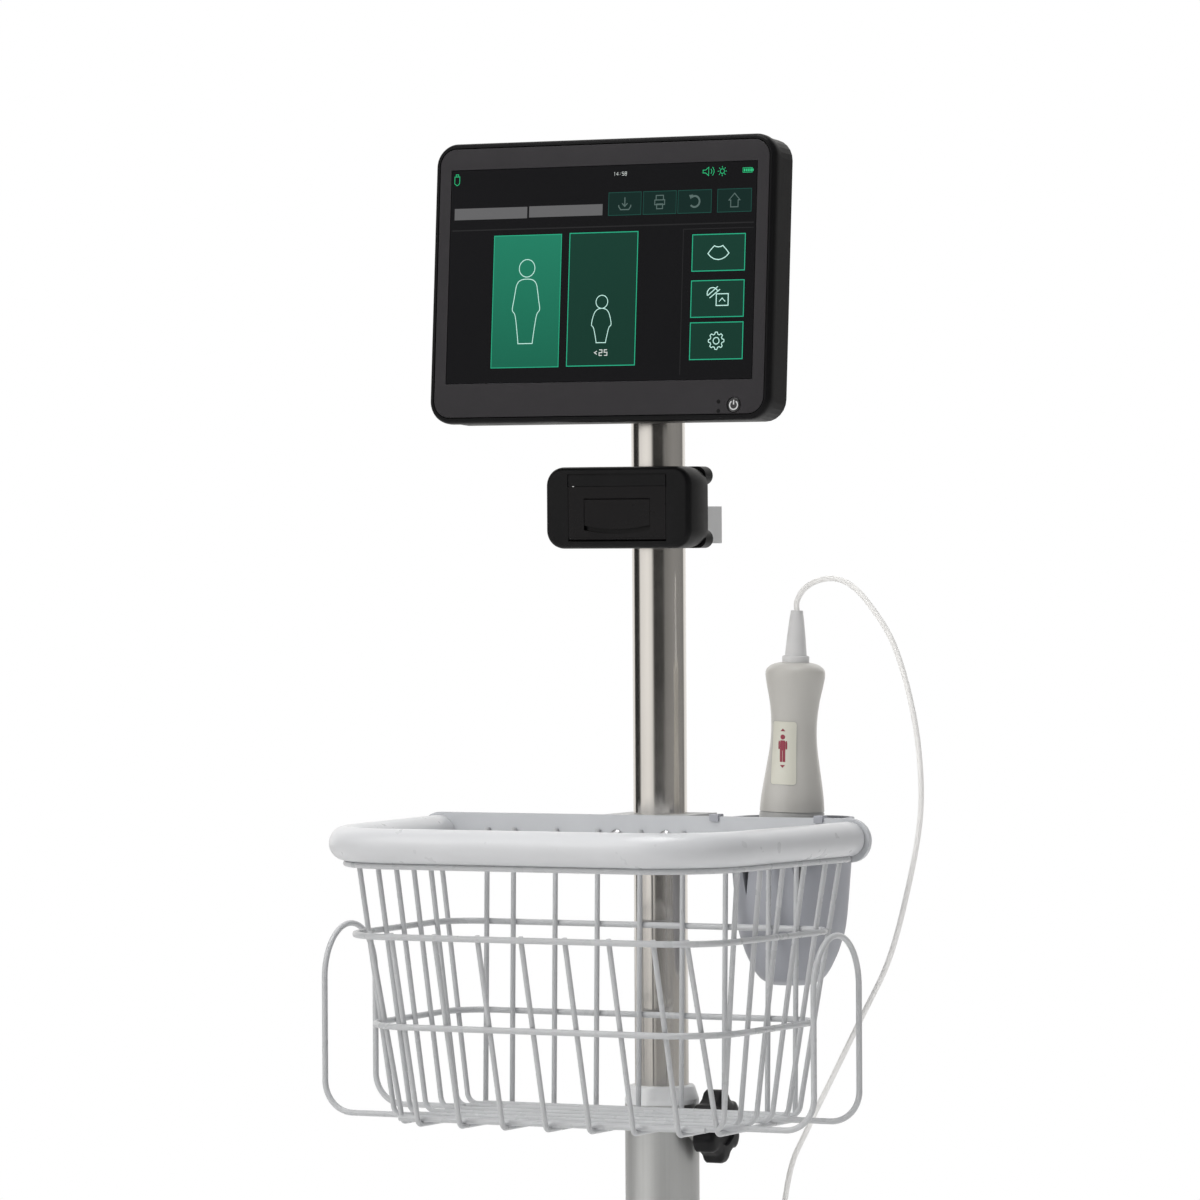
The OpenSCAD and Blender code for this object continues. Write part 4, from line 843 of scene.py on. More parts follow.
@dataclass
class Cable:
    """The probe's cable, in two stretches that meet at the lowest point of its loop, in millimetres."""

    diameter: float = 3.6
    loop: Table = (
        (94.872, 9, 956.429), (95.071, 9, 962.426), (99, 11, 970), (107, 12, 975), (119, 12, 977), (131, 13, 973),
        (144, 13, 961), (160, 15, 936), (171, 17, 900), (176, 20, 862), (174, 25, 823), (162, 32, 777),
        (144, 41, 730), (121, 49, 692), (100, 52, 655), (79, 54, 617), (65, 56, 587), (54, 60, 529),
        (48, 63, 480), (42, 65, 444), (33, 66, 424), (26, 66, 418), (21, 66, 417), (18, 66, 417))
    riser: Table = (
        (17.7, 66, 417), (14, 66, 417), (9, 66, 418), (2, 65, 422), (-8, 60, 437), (-14, 52, 465),
        (-17, 46, 510), (-18, 43, 600), (-18, 42, 760), (-18, 42, 920), (-18, 42, 1030), (-20, 43, 1068),
        (-30, 44, 1090), (-50, 41, 1107), (-76, 28, 1120), (-97, 8, 1132), (-105, -14, 1143), (-102, -26, 1149),
        (-92.3, -30, 1150), (-86.3, -30, 1150), (-80.3, -30, 1150))
    steps: int = 8
    sides: int = 20

    def build(self) -> None:
        """One tube along both stretches, which meet at the loop's foot."""
        path = np.vstack([spline(self.loop, self.steps), spline(self.riser, self.steps)[1:]])[::-1] * MM
        piece = tube("probe_cable", path, self.diameter * MM / 2, self.sides)
        dress(piece, Look.CABLE)
        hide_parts("cable_loop", "cable_riser")
        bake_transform(piece)


@dataclass(frozen=True)
class Lamp:
    """A square soft lamp that faces a point on the column; a mirrored one also shows as a highlight."""

    name: str
    spot: Spot
    aim_z: float
    size: float
    watts: float
    tint: Colour = (1.0, 1.0, 1.0)
    mirrored: bool = False

    def build(self) -> None:
        """Adds the lamp to the scene."""
        data = bpy.data.lights.new(self.name, "AREA")
        data.size, data.energy, data.color = self.size, self.watts, self.tint
        lamp = bpy.data.objects.new(self.name, data)
        bpy.context.scene.collection.objects.link(lamp)
        spot = Vector(self.spot)
        turn = (Vector((0, 0, self.aim_z)) - spot).to_track_quat("-Z", "Y").to_matrix().to_4x4()
        lamp.matrix_world = Matrix.Translation(spot) @ turn
        lamp.visible_glossy = self.mirrored


@dataclass
class Studio:
    """Pale floor and backdrop, soft lamps and a warm glow for the polished pole to mirror.

    The room is a table of share of a turn round Z and brightness.
    """

    floor: Colour = (0.9, 0.9, 0.9)
    reach: float = 9.0
    lamps: tuple[Lamp, ...] = (
        Lamp("key", (-1.6, -2.6, 2.9), 0.95, 1.6, 50.0, (1.0, 0.99, 0.97)),
        Lamp("top", (-0.1, -0.5, 3.4), 0.9, 1.5, 34.0, mirrored=True),
        Lamp("fill", (3.0, -1.4, 1.7), 0.9, 1.8, 16.0),
        Lamp("back", (0.6, 2.8, 2.4), 1.0, 1.6, 26.0, (0.98, 0.99, 1.0)))
    room: Table = (
        (0.0, 0.03), (0.060, 0.04), (0.078, 1.0), (0.18, 1.15), (0.235, 0.95), (0.262, 0.04), (0.372, 0.05),
        (0.395, 0.22), (0.50, 0.32), (0.60, 0.30), (0.680, 0.22), (0.715, 1.0), (0.945, 1.0), (0.965, 0.03))

    def build(self) -> None:
        """Adds the floor, the world and the lamps."""
        corners = np.array([(-1, -1, 0), (1, -1, 0), (1, 1, 0), (-1, 1, 0)]) * self.reach
        ground = mesh_piece("floor", corners, [(0, 1, 2, 3)], False)
        ground.data.materials.append(self.paint())
        self.sky()
        for lamp in self.lamps:
            lamp.build()
        LOG.info("studio lit")

    def paint(self) -> bpy.types.Material:
        """Floor paint: matt, with the object's shadow near its foot.

        The glow that the camera sees follows the square of the distance from the column, so that the floor runs into
        the white backdrop without a line.

        Returns:
            The floor's material.
        """
        graph = Graph(bpy.data.materials.new("floor_paint"))
        dark = tuple(c * 0.99 for c in self.floor)
        graph.set(Base_Color=graph.mix(graph.noise(3.0), self.floor, dark), Roughness=0.8)
        glow = graph.node("ShaderNodeEmission", {}, {"Color": (1, 1, 1), "Strength": 1.0})
        seen = graph.node("ShaderNodeLightPath", {}, {}, "Is Camera Ray")
        x, y = graph.axis("X"), graph.axis("Y")
        far = (x * x + y * y).ramp(0.3, 2.6, 0.7, 1.0)
        matt = Wire(graph, graph.shader.outputs[0])
        graph.show(graph.node("ShaderNodeMixShader", {}, {0: seen * far, 1: matt, 2: glow}))
        return graph.owner

    def sky(self) -> None:
        """White to the camera; as a light, a dim room with soft boxes, whose strength follows a ramp round Z."""
        bpy.context.scene.world = bpy.data.worlds.new("sky")
        graph = Graph(bpy.context.scene.world)
        spot = graph.node("ShaderNodeTexCoord", {}, {}, "Generated")
        around = graph.node("ShaderNodeTexGradient", {"gradient_type": "RADIAL"}, {"Vector": spot})
        stops = [(at, (level, level * 0.985, level * 0.965)) for at, level in self.room]
        glow = graph.node("ShaderNodeValToRGB", {"stops": stops}, {0: around})
        light = graph.node("ShaderNodeBackground", {}, {"Color": glow, "Strength": 1.0})
        white = graph.node("ShaderNodeBackground", {}, {"Color": (1, 1, 1), "Strength": 1.0})
        seen = graph.node("ShaderNodeLightPath", {}, {}, "Is Camera Ray")
        graph.show(graph.node("ShaderNodeMixShader", {}, {0: seen, 1: light, 2: white}))


@dataclass
class Ink:
    """Flat shapes of one colour on the screen, in millimetres from the picture's centre."""

    look: Look
    layer: int
    corners: list[Array] = field(default_factory=list)
    faces: list[Array] = field(default_factory=list)
    count: int = 0

    def add(self, points: Outline, faces: Outline) -> None:
        """Adds points and faces to the ink.

        Args:
            points: Points of two numbers.
            faces: Lists of indices into those points, one to a face.
        """
        self.corners.append(np.asarray(points, float))
        self.faces.extend((np.asarray(f) + self.count).tolist() for f in faces)
        self.count += len(points)

    def block(self, x0: float, z0: float, x1: float, z1: float) -> None:
        """A filled box."""
        self.fan([(x0, z0), (x1, z0), (x1, z1), (x0, z1)])

    def band(self, x: float, heights: Sequence[float], halves: Sequence[float], columns: int = 7) -> None:
        """A filled shape from its half width at each height, in columns that can be wrapped round a curve.

        Args:
            x: The shape's middle.
            heights: Heights of its rows.
            halves: Its half width at each of them.
            columns: Points across each row.
        """
        z, half = np.asarray(heights, float)[:, None], np.asarray(halves, float)[:, None]
        points = np.stack([x + half * np.linspace(-1, 1, columns), z + np.zeros((1, columns))], -1)
        self.add(points.reshape(-1, 2), grid_faces(len(heights), columns, False))

    def fan(self, outline: Outline) -> None:
        """A filled outline, as one face."""
        self.add(outline, [list(range(len(outline)))])

    def line(self, points: Outline, width: float, closed: bool = False) -> None:
        """A band of even width along points: each corner is offset along the mean of its two normals.

        Args:
            points: The band's centreline.
            width: Its width.
            closed: True where the last point joins the first.
        """
        p = np.asarray(points, float)
        ahead = (np.roll(p, -1, 0) if closed else np.vstack([p[1:], 2 * p[-1:] - p[-2:-1]])) - p
        behind = p - (np.roll(p, 1, 0) if closed else np.vstack([2 * p[:1] - p[1:2], p[:-1]]))
        ahead, behind = unit(ahead), unit(behind)
        mean = unit(ahead + behind)
        normal = np.stack([-mean[:, 1], mean[:, 0]], -1)
        reach = width / 2 / np.clip((mean * ahead).sum(1, keepdims=True), 0.5, 1)
        ends = np.concatenate([p - normal * reach, p + normal * reach])
        n = len(p)
        i = np.arange(n if closed else n - 1)
        j = (i + 1) % n
        self.add(ends, np.stack([i, j, j + n, i + n], -1))

    def frame(self, x0: float, z0: float, x1: float, z1: float, width: float) -> None:
        """The border of a box, drawn inside it."""
        h = width / 2
        self.line([(x0 + h, z0 + h), (x1 - h, z0 + h), (x1 - h, z1 - h), (x0 + h, z1 - h)], width, True)

    def arc(self, x: float, z: float, r: float, width: float, start: float = 0, end: float = 360,
            steps: int = 24) -> None:
        """An arc from one angle to another, in degrees, or a whole circle.

        Args:
            x: Its centre across.
            z: Its centre up.
            r: Radius of the centreline.
            width: Width of the line.
            start: Angle of the first point.
            end: Angle of the last.
            steps: Number of points.
        """
        a = np.radians(np.linspace(start, end, steps))
        points = np.stack([x + r * np.cos(a), z + r * np.sin(a)], -1)
        whole = end - start == 360
        self.line(points[:-1] if whole else points, width, whole)


NUMERALS: dict[str, Table] = {
    "1": ((0.2, 1.6, 0.6, 2, 0.6, 0),), "2": ((0, 2, 1, 2, 1, 1, 0, 1, 0, 0, 1, 0),),
    "4": ((0.8, 0, 0.8, 2, 0, 0.7, 1.1, 0.7),), "5": ((1, 2, 0, 2, 0, 1.1, 1, 1.1, 1, 0, 0, 0),),
    "8": ((0, 0, 1, 0, 1, 2, 0, 2, 0, 0), (0, 1, 1, 1)), ":": ((0.5, 0.5, 0.5, 0.75), (0.5, 1.3, 0.5, 1.55)),
    "<": ((1, 1.6, 0.1, 1.0, 1, 0.4),)}


@dataclass
class Picture:
    """The display's picture: generic icons and tiles, with no words, in millimetres from its centre.

    The grown-up and the child are tables of height and half width.
    """

    place: Matrix
    rise: float = 4.0
    film: float = 0.02
    status_pen: float = 0.38
    sun: tuple[float, float] = (85.2, 63.2)
    gear: tuple[float, float] = (84.0, -44.7)
    adult: Table = (
        (-44.0, 5.2), (-40.0, 5.6), (-26.2, 7.7), (-22.2, 9.9), (-16.0, 9.0), (-9.8, 8.0), (-6.4, 7.3), (-4.2, 6.0),
        (-2.9, 4.0), (-2.4, 1.4))
    child: Table = (
        (-44.4, 3.4), (-42.4, 3.7), (-35.1, 5.4), (-32.9, 7.0), (-29.0, 6.4), (-26.4, 5.6), (-24.6, 4.7),
        (-23.3, 3.4), (-22.6, 1.9), (-22.4, 0.7))
    inks: dict[Look, Ink] = field(default_factory=dict)

    def ink(self, look: Look, layer: int) -> Ink:
        """The ink of one colour, made when first used."""
        return self.inks.setdefault(look, Ink(look, layer))

    def header(self) -> None:
        """Status row: plug, clock, speaker, sun and battery."""
        green, pen = self.ink(Look.GLOW_STATUS, 2), self.status_pen
        green.line([(-107.4, 61.6), (-107.4, 65.2), (-103.8, 65.2), (-103.8, 61.6)], pen)
        green.line([(-107.4, 62.4), (-107.4, 60.8), (-105.6, 59.4), (-103.8, 60.8), (-103.8, 62.4)], pen)
        green.line([(-106.5, 65.2), (-106.5, 66.6), (-104.7, 66.6), (-104.7, 65.2)], pen)
        green.line([(71.6, 62.4), (73.4, 62.4), (75.6, 60.6), (75.6, 66.0), (73.4, 64.2), (71.6, 64.2)], pen, True)
        for r in (2.0, 3.6):
            green.arc(75.8, 63.3, r, pen, -48, 48, 12)
        green.arc(*self.sun, 1.5, pen, steps=20)
        for turn in range(0, 360, 45):
            ray = np.array((math.cos(math.radians(turn)), math.sin(math.radians(turn))))
            green.line([self.sun + reach * ray for reach in (2.2, 3.2)], pen)
        green.frame(99.6, 61.8, 106.4, 65.0, 0.3)
        green.block(106.5, 62.7, 107.2, 64.1)
        for k in range(4):
            green.block(100.4 + 1.5 * k, 62.5, 101.4 + 1.5 * k, 64.3)
        self.caption("14:58", 2, (8.0, 62.6), 2.0, (1.2, 2.2), 0.26)

    def caption(self, marks: str, layer: int, spot: tuple[float, float], step: float, size: tuple[float, float],
                pen: float) -> None:
        """Plain numerals in strokes.

        Args:
            marks: What to write.
            layer: The ink's layer over the glass.
            spot: Lower left corner of the first numeral.
            step: From one numeral to the next.
            size: Width and height of a numeral.
            pen: Width of the strokes.
        """
        ink = self.ink(Look.GLOW_TEXT, layer)
        for k, mark in enumerate(marks):
            for stroke in NUMERALS[mark]:
                p = np.array(stroke, float).reshape(-1, 2) * (size[0], size[1] / 2)
                ink.line(p + (spot[0] + step * k, spot[1]), pen)

    def entries(self) -> None:
        """Two entry bars and the divider under the toolbar."""
        grey, faint = self.ink(Look.GLOW_GREY, 1), self.ink(Look.GLOW_FAINT, 1)
        grey.block(-106.8, 37.0, -53.8, 44.4)
        grey.block(-52.4, 37.4, 0.6, 44.6)
        faint.block(-108.3, 29.7, 108.3, 30.5)
        faint.block(58.6, 26.6, 108.3, 27.1)
        faint.block(58.6, -66.0, 59.1, 26.6)

    def tools(self) -> None:
        """Four toolbar buttons: store, print, renew and home."""
        tile, edge = self.ink(Look.GLOW_TOOL, 1), self.ink(Look.GLOW_TOOL_EDGE, 2)
        icon = self.ink(Look.GLOW_ICON, 3)
        for x0, x1 in ((4.7, 28.3), (29.5, 53.3), (54.2, 78.2), (82.2, 106.4)):
            tile.block(x0, 36.9, x1, 51.9)
            edge.frame(x0, 36.9, x1, 51.9, 0.4)
        icon.line([(16.5, 48.4), (16.5, 42.8)], 0.7)
        icon.line([(14.6, 44.6), (16.5, 42.7), (18.4, 44.6)], 0.7)
        icon.line([(12.2, 43.6), (12.2, 42.6), (13.6, 40.6), (19.4, 40.6), (20.8, 42.6), (20.8, 43.6)], 0.7)
        icon.line([(38.8, 46.4), (38.8, 49.0), (44.0, 49.0), (44.0, 46.4)], 0.6)
        icon.frame(37.6, 42.8, 45.2, 46.4, 0.6)
        icon.frame(39.0, 40.2, 43.8, 43.8, 0.6)
        icon.arc(66.2, 44.4, 3.5, 1.2, -140, 130)
        icon.fan([(62.2, 48.6), (65.2, 48.9), (63.4, 45.9)])
        icon.line([(90.4, 44.6), (94.3, 48.9), (98.2, 44.6), (96.9, 44.6), (96.9, 40.2), (91.7, 40.2), (91.7, 44.6)],
                  0.6, True)

    @staticmethod
    def figure(ink: Ink, x: float, body: Outline, head_z: float, head_r: float, pen: float = 0.5) -> None:
        """Outline of a standing figure: a round head, and a body whose half width follows a table of heights.

        Args:
            ink: What it is drawn in.
            x: The figure's middle.
            body: Rows of height and half width, from the feet up.
            head_z: Height of the head's centre.
            head_r: Radius of the head.
            pen: Width of the line.
        """
        half = spline(body, 6)
        right = np.stack([x + half[:, 1], half[:, 0]], -1)
        ink.line(np.vstack([right, right[::-1] * (-1, 1) + (2 * x, 0)]), pen, True)
        ink.arc(x, head_z, head_r, pen, steps=40)

    def tiles(self) -> None:
        """The grown-up's tile, lit, and the child's, dimmed."""
        edge, line = self.ink(Look.GLOW_EDGE, 2), self.ink(Look.GLOW_LINE, 3)
        self.ink(Look.GLOW_TILE, 1).block(-77.3, -59.6, -28.1, 26.2)
        self.ink(Look.GLOW_DARK, 1).block(-22.6, -59.4, 26.8, 26.6)
        edge.frame(-77.3, -59.6, -28.1, 26.2, 0.5)
        edge.frame(-22.6, -59.4, 26.8, 26.6, 0.6)
        self.figure(line, -52.7, self.adult, 4.6, 5.65)
        self.figure(line, 2.0, self.child, -18.2, 4.2)
        self.caption("<25", 3, (-2.6, -52.6), 3.6, (2.0, 3.6), 0.55)

    def side_buttons(self) -> None:
        """Three tiles at the right: scan, report and settings.

        The gear of the last is a circle whose radius waves eight times round, flattened at its teeth by a tanh.
        """
        dark, edge, line = self.ink(Look.GLOW_DARK, 1), self.ink(Look.GLOW_EDGE, 2), self.ink(Look.GLOW_LINE, 3)
        for z0, z1 in ((-0.4, 23.4), (-29.8, -6.0), (-56.7, -32.7)):
            dark.block(65.2, z0, 102.9, z1)
            edge.frame(65.2, z0, 102.9, z1, 0.6)
        line.line([(81.0, 15.8), (78.8, 13.6), (76.6, 10.9), (78.6, 8.8), (81.2, 7.4), (84.0, 6.9), (86.8, 7.4),
                   (89.4, 8.8), (91.4, 10.9), (89.2, 13.6), (87.0, 15.8), (85.6, 15.2), (84.0, 15.0), (82.4, 15.2)],
                  0.6, True)
        line.frame(83.0, -22.6, 92.0, -14.6, 0.6)
        line.arc(80.6, -14.6, 3.8, 0.6, 20, 200)
        line.line([(77.2, -15.8), (84.2, -10.2)], 0.6)
        line.line([(78.6, -17.4), (85.8, -12.0)], 0.6)
        line.line([(85.4, -19.8), (87.4, -17.6), (89.6, -19.8)], 0.5)
        t = np.linspace(0, 2 * math.pi, 96, endpoint=False)[:, None]
        r = 4.9 + 0.62 * np.tanh(4 * np.cos(8 * t))
        line.line(self.gear + r * np.hstack([np.cos(t), np.sin(t)]), 0.55, True)
        line.arc(*self.gear, 2.1, 0.55)

    def build(self, owner: Assembly) -> None:
        """Draws the picture and turns each ink into one piece just in front of the glass.

        Args:
            owner: The sub-assembly that dresses the pieces.
        """
        for part in (self.header, self.entries, self.tools, self.tiles, self.side_buttons):
            part()
        for look, ink in self.inks.items():
            flat = np.vstack(ink.corners)
            depth = np.full(len(flat), -self.film * (1 + ink.layer))
            points = np.stack([flat[:, 0], depth, flat[:, 1] + self.rise], -1) * MM
            piece = placed(mesh_piece("screen_" + look.value.name, points, ink.faces, False), self.place)
            owner.finish(facing(piece, OUT), look, "cover_glass")


@dataclass
class Console(Assembly):
    """Touch-screen console in its leaning frame: sizes in millimetres."""

    body: str = "console"
    width: float = 244.0
    height: float = 182.0
    bezel: float = 12.0
    corner: float = 15.0
    screen_w: float = 217.0
    screen_h: float = 136.0
    glass_edge: float = 1.5
    face_inset: float = 3.9
    rise: float = 4.0
    lean: float = 4.2
    face_y: float = -82.0
    face_z: float = 1169.0
    button_x: float = 97.5
    button_z: float = -81.5
    button_r: float = 4.7
    button_bore: float = 5.0
    legend_pen: float = 0.85
    lamp_x: float = 86.8
    lamps: tuple[float, ...] = (-79.3, -85.3)

    def place(self) -> Matrix:
        """From the console's own frame, in metres, to the row frame."""
        return shift(0, self.face_y, self.face_z) @ Matrix.Rotation(-math.radians(self.lean), 4, "X")

    def deep(self) -> Matrix:
        """Turns (x, z, depth) into the console's own frame and places it."""
        return self.place() @ UPRIGHT

    def at(self, x: float, z: float) -> Matrix:
        """A spot on the console's face, with depth along the third axis."""
        return self.deep() @ shift(x, z, 0)

    def front(self) -> None:
        """Bezel: a flat face inside a rounded rim, parted by a fine groove, round the glass.

        Each row of the rim's profile is a depth and how far the rounded outline shrinks there.
        """
        w, h, r = self.width / 2, self.height / 2, self.corner
        gw, gh = self.screen_w / 2 + self.glass_edge, self.screen_h / 2 + self.glass_edge
        profile = ((self.bezel, 3.4), (self.bezel, 1), (self.bezel - 4.4, 1), (self.bezel - 4.8, 0), (4.2, 0),
                   (2.4, 0.25), (1.0, 0.9), (0.25, 1.8), (0.0, 2.6), (0.0, 3.3), (1.2, 3.5), (3.4, 3.5))
        rows = [(depth, w - inset, h - inset, r - inset) for depth, inset in profile]
        self.finish(loop_stack("bezel_rim", rows, self.deep(), caps=(False, False)), Look.SHELL, "bezel_plum")
        face = self.ring("bezel_face", *(size - self.face_inset for size in (w, h, r)), gw, gh)
        bore = np.array([(self.button_bore, -2), (self.button_bore, 9)])
        button = lathe("cutter", bore, 48, self.at(self.button_x, self.button_z))
        self.finish(trimmed(face, button), Look.BEZEL, "bezel_plum", "front_bezel")
        rows = [(depth, gw - inset, gh - inset, corner)
                for depth, inset, corner in ((1.8, 0.35, 0.4), (0.15, 0.35, 0.4), (0.0, 0.5, 0.3))]
        self.finish(loop_stack("glass_slab", rows, self.at(0, self.rise), 3), Look.GLASS, "cover_glass", "cover_glass")

    def ring(self, name: str, w: float, h: float, r: float, gw: float, gh: float) -> Piece:
        """Flat face of the bezel: loops run from its back round its outer edge to the glass's window.

        Args:
            name: Name of the piece.
            w: Half its width.
            h: Half its height.
            r: Radius of its corners.
            gw: Half the window's width.
            gh: Half the window's height.
        Returns:
            The new object.
        """
        profile = ((3.0, w - 0.2, h - 0.2, r, 0), (0.25, w, h, r, 0), (0.08, w - 0.2, h - 0.2, r - 0.2, 0),
                   (0.0, w - 0.6, h - 0.6, r - 0.6, 0), (0.0, gw, gh, 0.5, self.rise), (3.0, gw, gh, 0.5, self.rise))
        loops = [np.insert(round_loop(a, b, c) + (0, up), 2, d, axis=1) for d, a, b, c, up in profile]
        points = np.stack(loops + loops[:1])
        faces = grid_faces(len(points), points.shape[1], True)
        return placed(mesh_piece(name, points * MM, faces), self.deep())

    def button(self) -> None:
        """Power button with a dished face, its legend with a painted glow, and two small lamps."""
        spot, r = self.at(self.button_x, self.button_z), self.button_r
        profile = [(TIP, 6.8), (r, 6.8), (r, 0.3), (r - 0.1, 0.0), (r - 0.35, -0.25), (r - 0.6, -0.32),
                   (r - 0.8, -0.25), (r - 0.95, -0.1), (r - 1.3, -0.06), (TIP, -0.06)]
        cap = lathe("button_cap", np.array(profile), 64, spot)
        self.finish(cap, Look.BUTTON, "button_black", "power_button", body="power_button")
        # The white sign glows by itself: painted light.
        sign = Ink(Look.LEGEND, 1)
        sign.arc(0, -0.2, 2.75, self.legend_pen, 122, 418, 40)
        sign.line([(0, 0.1), (0, 3.1)], self.legend_pen)
        points = np.insert(np.vstack(sign.corners), 2, -0.2, axis=1) * MM
        sign_piece = facing(placed(mesh_piece("button_sign", points, sign.faces, False), spot), OUT)
        self.finish(sign_piece, Look.LEGEND, "button_black", body="power_button")
        dot = np.array([(TIP, 1.0), (1.3, 1.0), (1.3, -0.05), (0.9, -0.1), (TIP, -0.1)])
        for k, z in enumerate(self.lamps):
            self.finish(lathe(f"lamp_{k}", dot, 32, self.at(self.lamp_x, z)), Look.SHELL, "bezel_plum")

    def build(self) -> None:
        """Front, button, picture and the carried nodes."""
        self.front()
        self.button()
        Picture(self.place()).build(self)
        self.dress_nodes(rear_cover=Look.SHELL, tilt_plate=Look.BRACKET, display_panel=Look.PANEL,
                         main_board=Look.BOARD, battery_pack=Look.BATTERY, cover_screws=Look.SCREW,
                         cable_plug=Look.PLUG)


@dataclass
class Probe(Assembly):
    """Hand-held probe, turned about its own axis, sizes in millimetres; the taper gives height and radius."""

    body: str = "probe"
    x: float = 90.6
    y: float = 9.0
    seam_z: float = 827.0
    lean: float = 1.9
    handle: float = 96.0
    seam_r: float = 21.0
    waist_r: float = 14.8
    shoulder_r: float = 19.3
    collar_r: float = 8.8
    base_r: float = 25.5
    base: float = 81.5
    nose: float = 25.0
    taper: Table = ((4.4, 7.1), (16.75, 5.96), (26.8, 4.83), (33.5, 3.9))
    label_w: float = 18.8
    label_h: float = 41.0
    label_z: float = 38.0
    label_edge: float = -56.7
    label_corner: float = 2.4
    label_line: float = 0.3
    film_lift: float = 0.12
    edge_shadow_lift: float = 0.16
    mark_lift: float = 0.2

    def place(self, z: float = 0.0) -> Matrix:
        """From the probe's own frame to the row frame, at a height on the probe's axis."""
        turn = Matrix.Rotation(math.radians(self.lean), 4, "Y")
        return shift(self.x, self.y, self.seam_z) @ turn @ shift(0, 0, z)

    def handle_rows(self) -> Array:
        """Radius and height of the handle, from the seam up.

        Returns:
            Rows in millimetres, on a curve through its widths.
        """
        w, c = self.waist_r, self.collar_r
        seam, shoulder, collar = self.seam_r - w, self.shoulder_r - w, self.shoulder_r - c
        knots = [(0, self.seam_r), (0.12, w + 0.82 * seam), (0.3, w + 0.39 * seam), (0.42, w + 0.11 * seam),
                 (0.53, w), (0.64, w + 0.07 * shoulder), (0.75, w + 0.36 * shoulder), (0.85, w + 0.8 * shoulder),
                 (0.92, self.shoulder_r), (0.955, c + 0.91 * collar), (0.985, c + 0.55 * collar), (1.0, c)]
        curve = spline(knots, 8)
        return np.stack([curve[:, 1], curve[:, 0] * self.handle], -1)

    def shell(self) -> None:
        """Handle, lower housing and nose.

        Each is turned: the first two from a curve through their widths, the nose from a quarter of an ellipse.
        """
        rows = self.handle_rows()
        body = np.vstack([[(TIP, 0.0), (self.seam_r - 0.5, 0.0)], rows + (0, 0.15), [(TIP, self.handle)]])
        self.finish(lathe("handle_skin", body, 96, self.place()), Look.HANDLE, "probe_warm", "probe_handle")
        s, b = self.seam_r, self.base_r
        wider = b - s
        knots = [(0.03, s), (0.15, s + 0.14 * wider), (0.3, s + 0.42 * wider), (0.45, s + 0.76 * wider), (0.62, b),
                 (0.85, b * 0.996), (1.0, b * 0.98)]
        curve = spline(knots, 8)
        skin = np.vstack([[(TIP, 0.0), (s - 0.55, 0.0), (s - 0.55, -0.7), (s - 0.1, -0.9)],
                          np.stack([curve[:, 1], -curve[:, 0] * self.base], -1), [(TIP, -self.base)]])
        self.finish(lathe("housing_skin", skin, 96, self.place()), Look.HOUSING, "probe_cool", "probe_base")
        a = np.radians(np.linspace(0, 89, 24))
        dome = np.vstack([[(TIP, 0)], np.stack([b * 0.96 * np.cos(a), -self.nose * np.sin(a)], -1)])
        nose = lathe("nose_skin", dome, 96, self.place(-self.base))
        self.finish(nose, Look.NOSE, "nose_grey", "probe_nose")

    def relief(self) -> None:
        """Strain relief: a collar, then a taper to the tip, whose radius runs straight between the table's rows."""
        heights, radii = np.array(self.taper).T
        z = np.linspace(heights[0], heights[-1], 60)
        r = np.interp(z, heights, radii)
        collar = [(TIP, 0), (8.8, 0), (8.8, 3.4), (8.5, 4.1), (7.9, 4.4)]
        profile = np.vstack([collar, np.stack([r, z], -1), [(2.2, 33.5), (TIP, 33.5)]])
        relief = lathe("relief_skin", profile, 64, self.place(self.handle))
        self.finish(relief, Look.RELIEF, "probe_cool", "strain_relief")

    def on_waist(self, name: str, flat: Array, faces: Outline, lift: float) -> Piece:
        """Wraps a flat shape (arc length, height) round the waist.

        The label's right edge keeps its angle, and the angle of each point is its arc length over the handle's radius
        at its height.

        Args:
            name: Name of the piece.
            flat: Points of the flat shape, in millimetres.
            faces: Lists of indices, one to a face.
            lift: How far the shape stands off the handle.
        Returns:
            The new object.
        """
        rows = self.handle_rows()
        r = np.interp(flat[:, 1], rows[:, 1], rows[:, 0])
        a = math.radians(self.label_edge) + (flat[:, 0] - self.label_w / 2) / r
        points = np.stack([(r + lift) * np.cos(a), (r + lift) * np.sin(a), flat[:, 1]], -1) * MM
        return facing(placed(mesh_piece(name, points, faces), self.place()), OUT)

    def label(self) -> None:
        """Pale label with a painted shadow along the film's edge, drawn as a fine dark line, and a standing figure
        between two arrowheads.

        The film's half width falls off near its ends as a quarter circle does, which rounds its corners.
        """
        w, h, middle, corner = self.label_w / 2, self.label_h / 2, self.label_z, self.label_corner
        v = h * np.sin(np.linspace(-math.pi / 2, math.pi / 2, 49))
        past = np.clip(np.abs(v) - (h - corner), 0, corner)
        film = Ink(Look.LABEL, 0)
        film.band(0, middle + v, w - corner + np.sqrt(corner**2 - past**2), 33)
        sheet = self.on_waist("label_film", film.corners[0], film.faces, self.film_lift)
        self.finish(sheet, Look.LABEL, "label_cream", "probe_label")
        # A dark line just inside the film's edge: painted shadow of that edge.
        loops = [round_loop(w - d, h - d, corner - d, 10) for d in (0.0, self.label_line)]
        knots = np.arange(len(loops[0]) + 1)
        at = np.arange(0, knots[-1], 1 / 16)
        fine = [np.column_stack([np.interp(at, knots, np.append(row, row[0])) for row in loop.T]) for loop in loops]
        points = np.vstack(fine) + (0, middle)
        border = self.on_waist("label_border", points, grid_faces(2, len(at), True), self.edge_shadow_lift)
        self.finish(border, Look.BORDER, "label_cream")
        mark = Ink(Look.MARK, 1)
        t = np.radians(np.linspace(-90, 90, 16))
        mark.band(0, 48.2 + 1.6 * np.sin(t), 1.7 * np.cos(t) + 0.01)
        mark.band(0, (51.9, 53.7), (1.8, 0.05))
        mark.band(0, (28.5, 30.3), (0.05, 1.8))
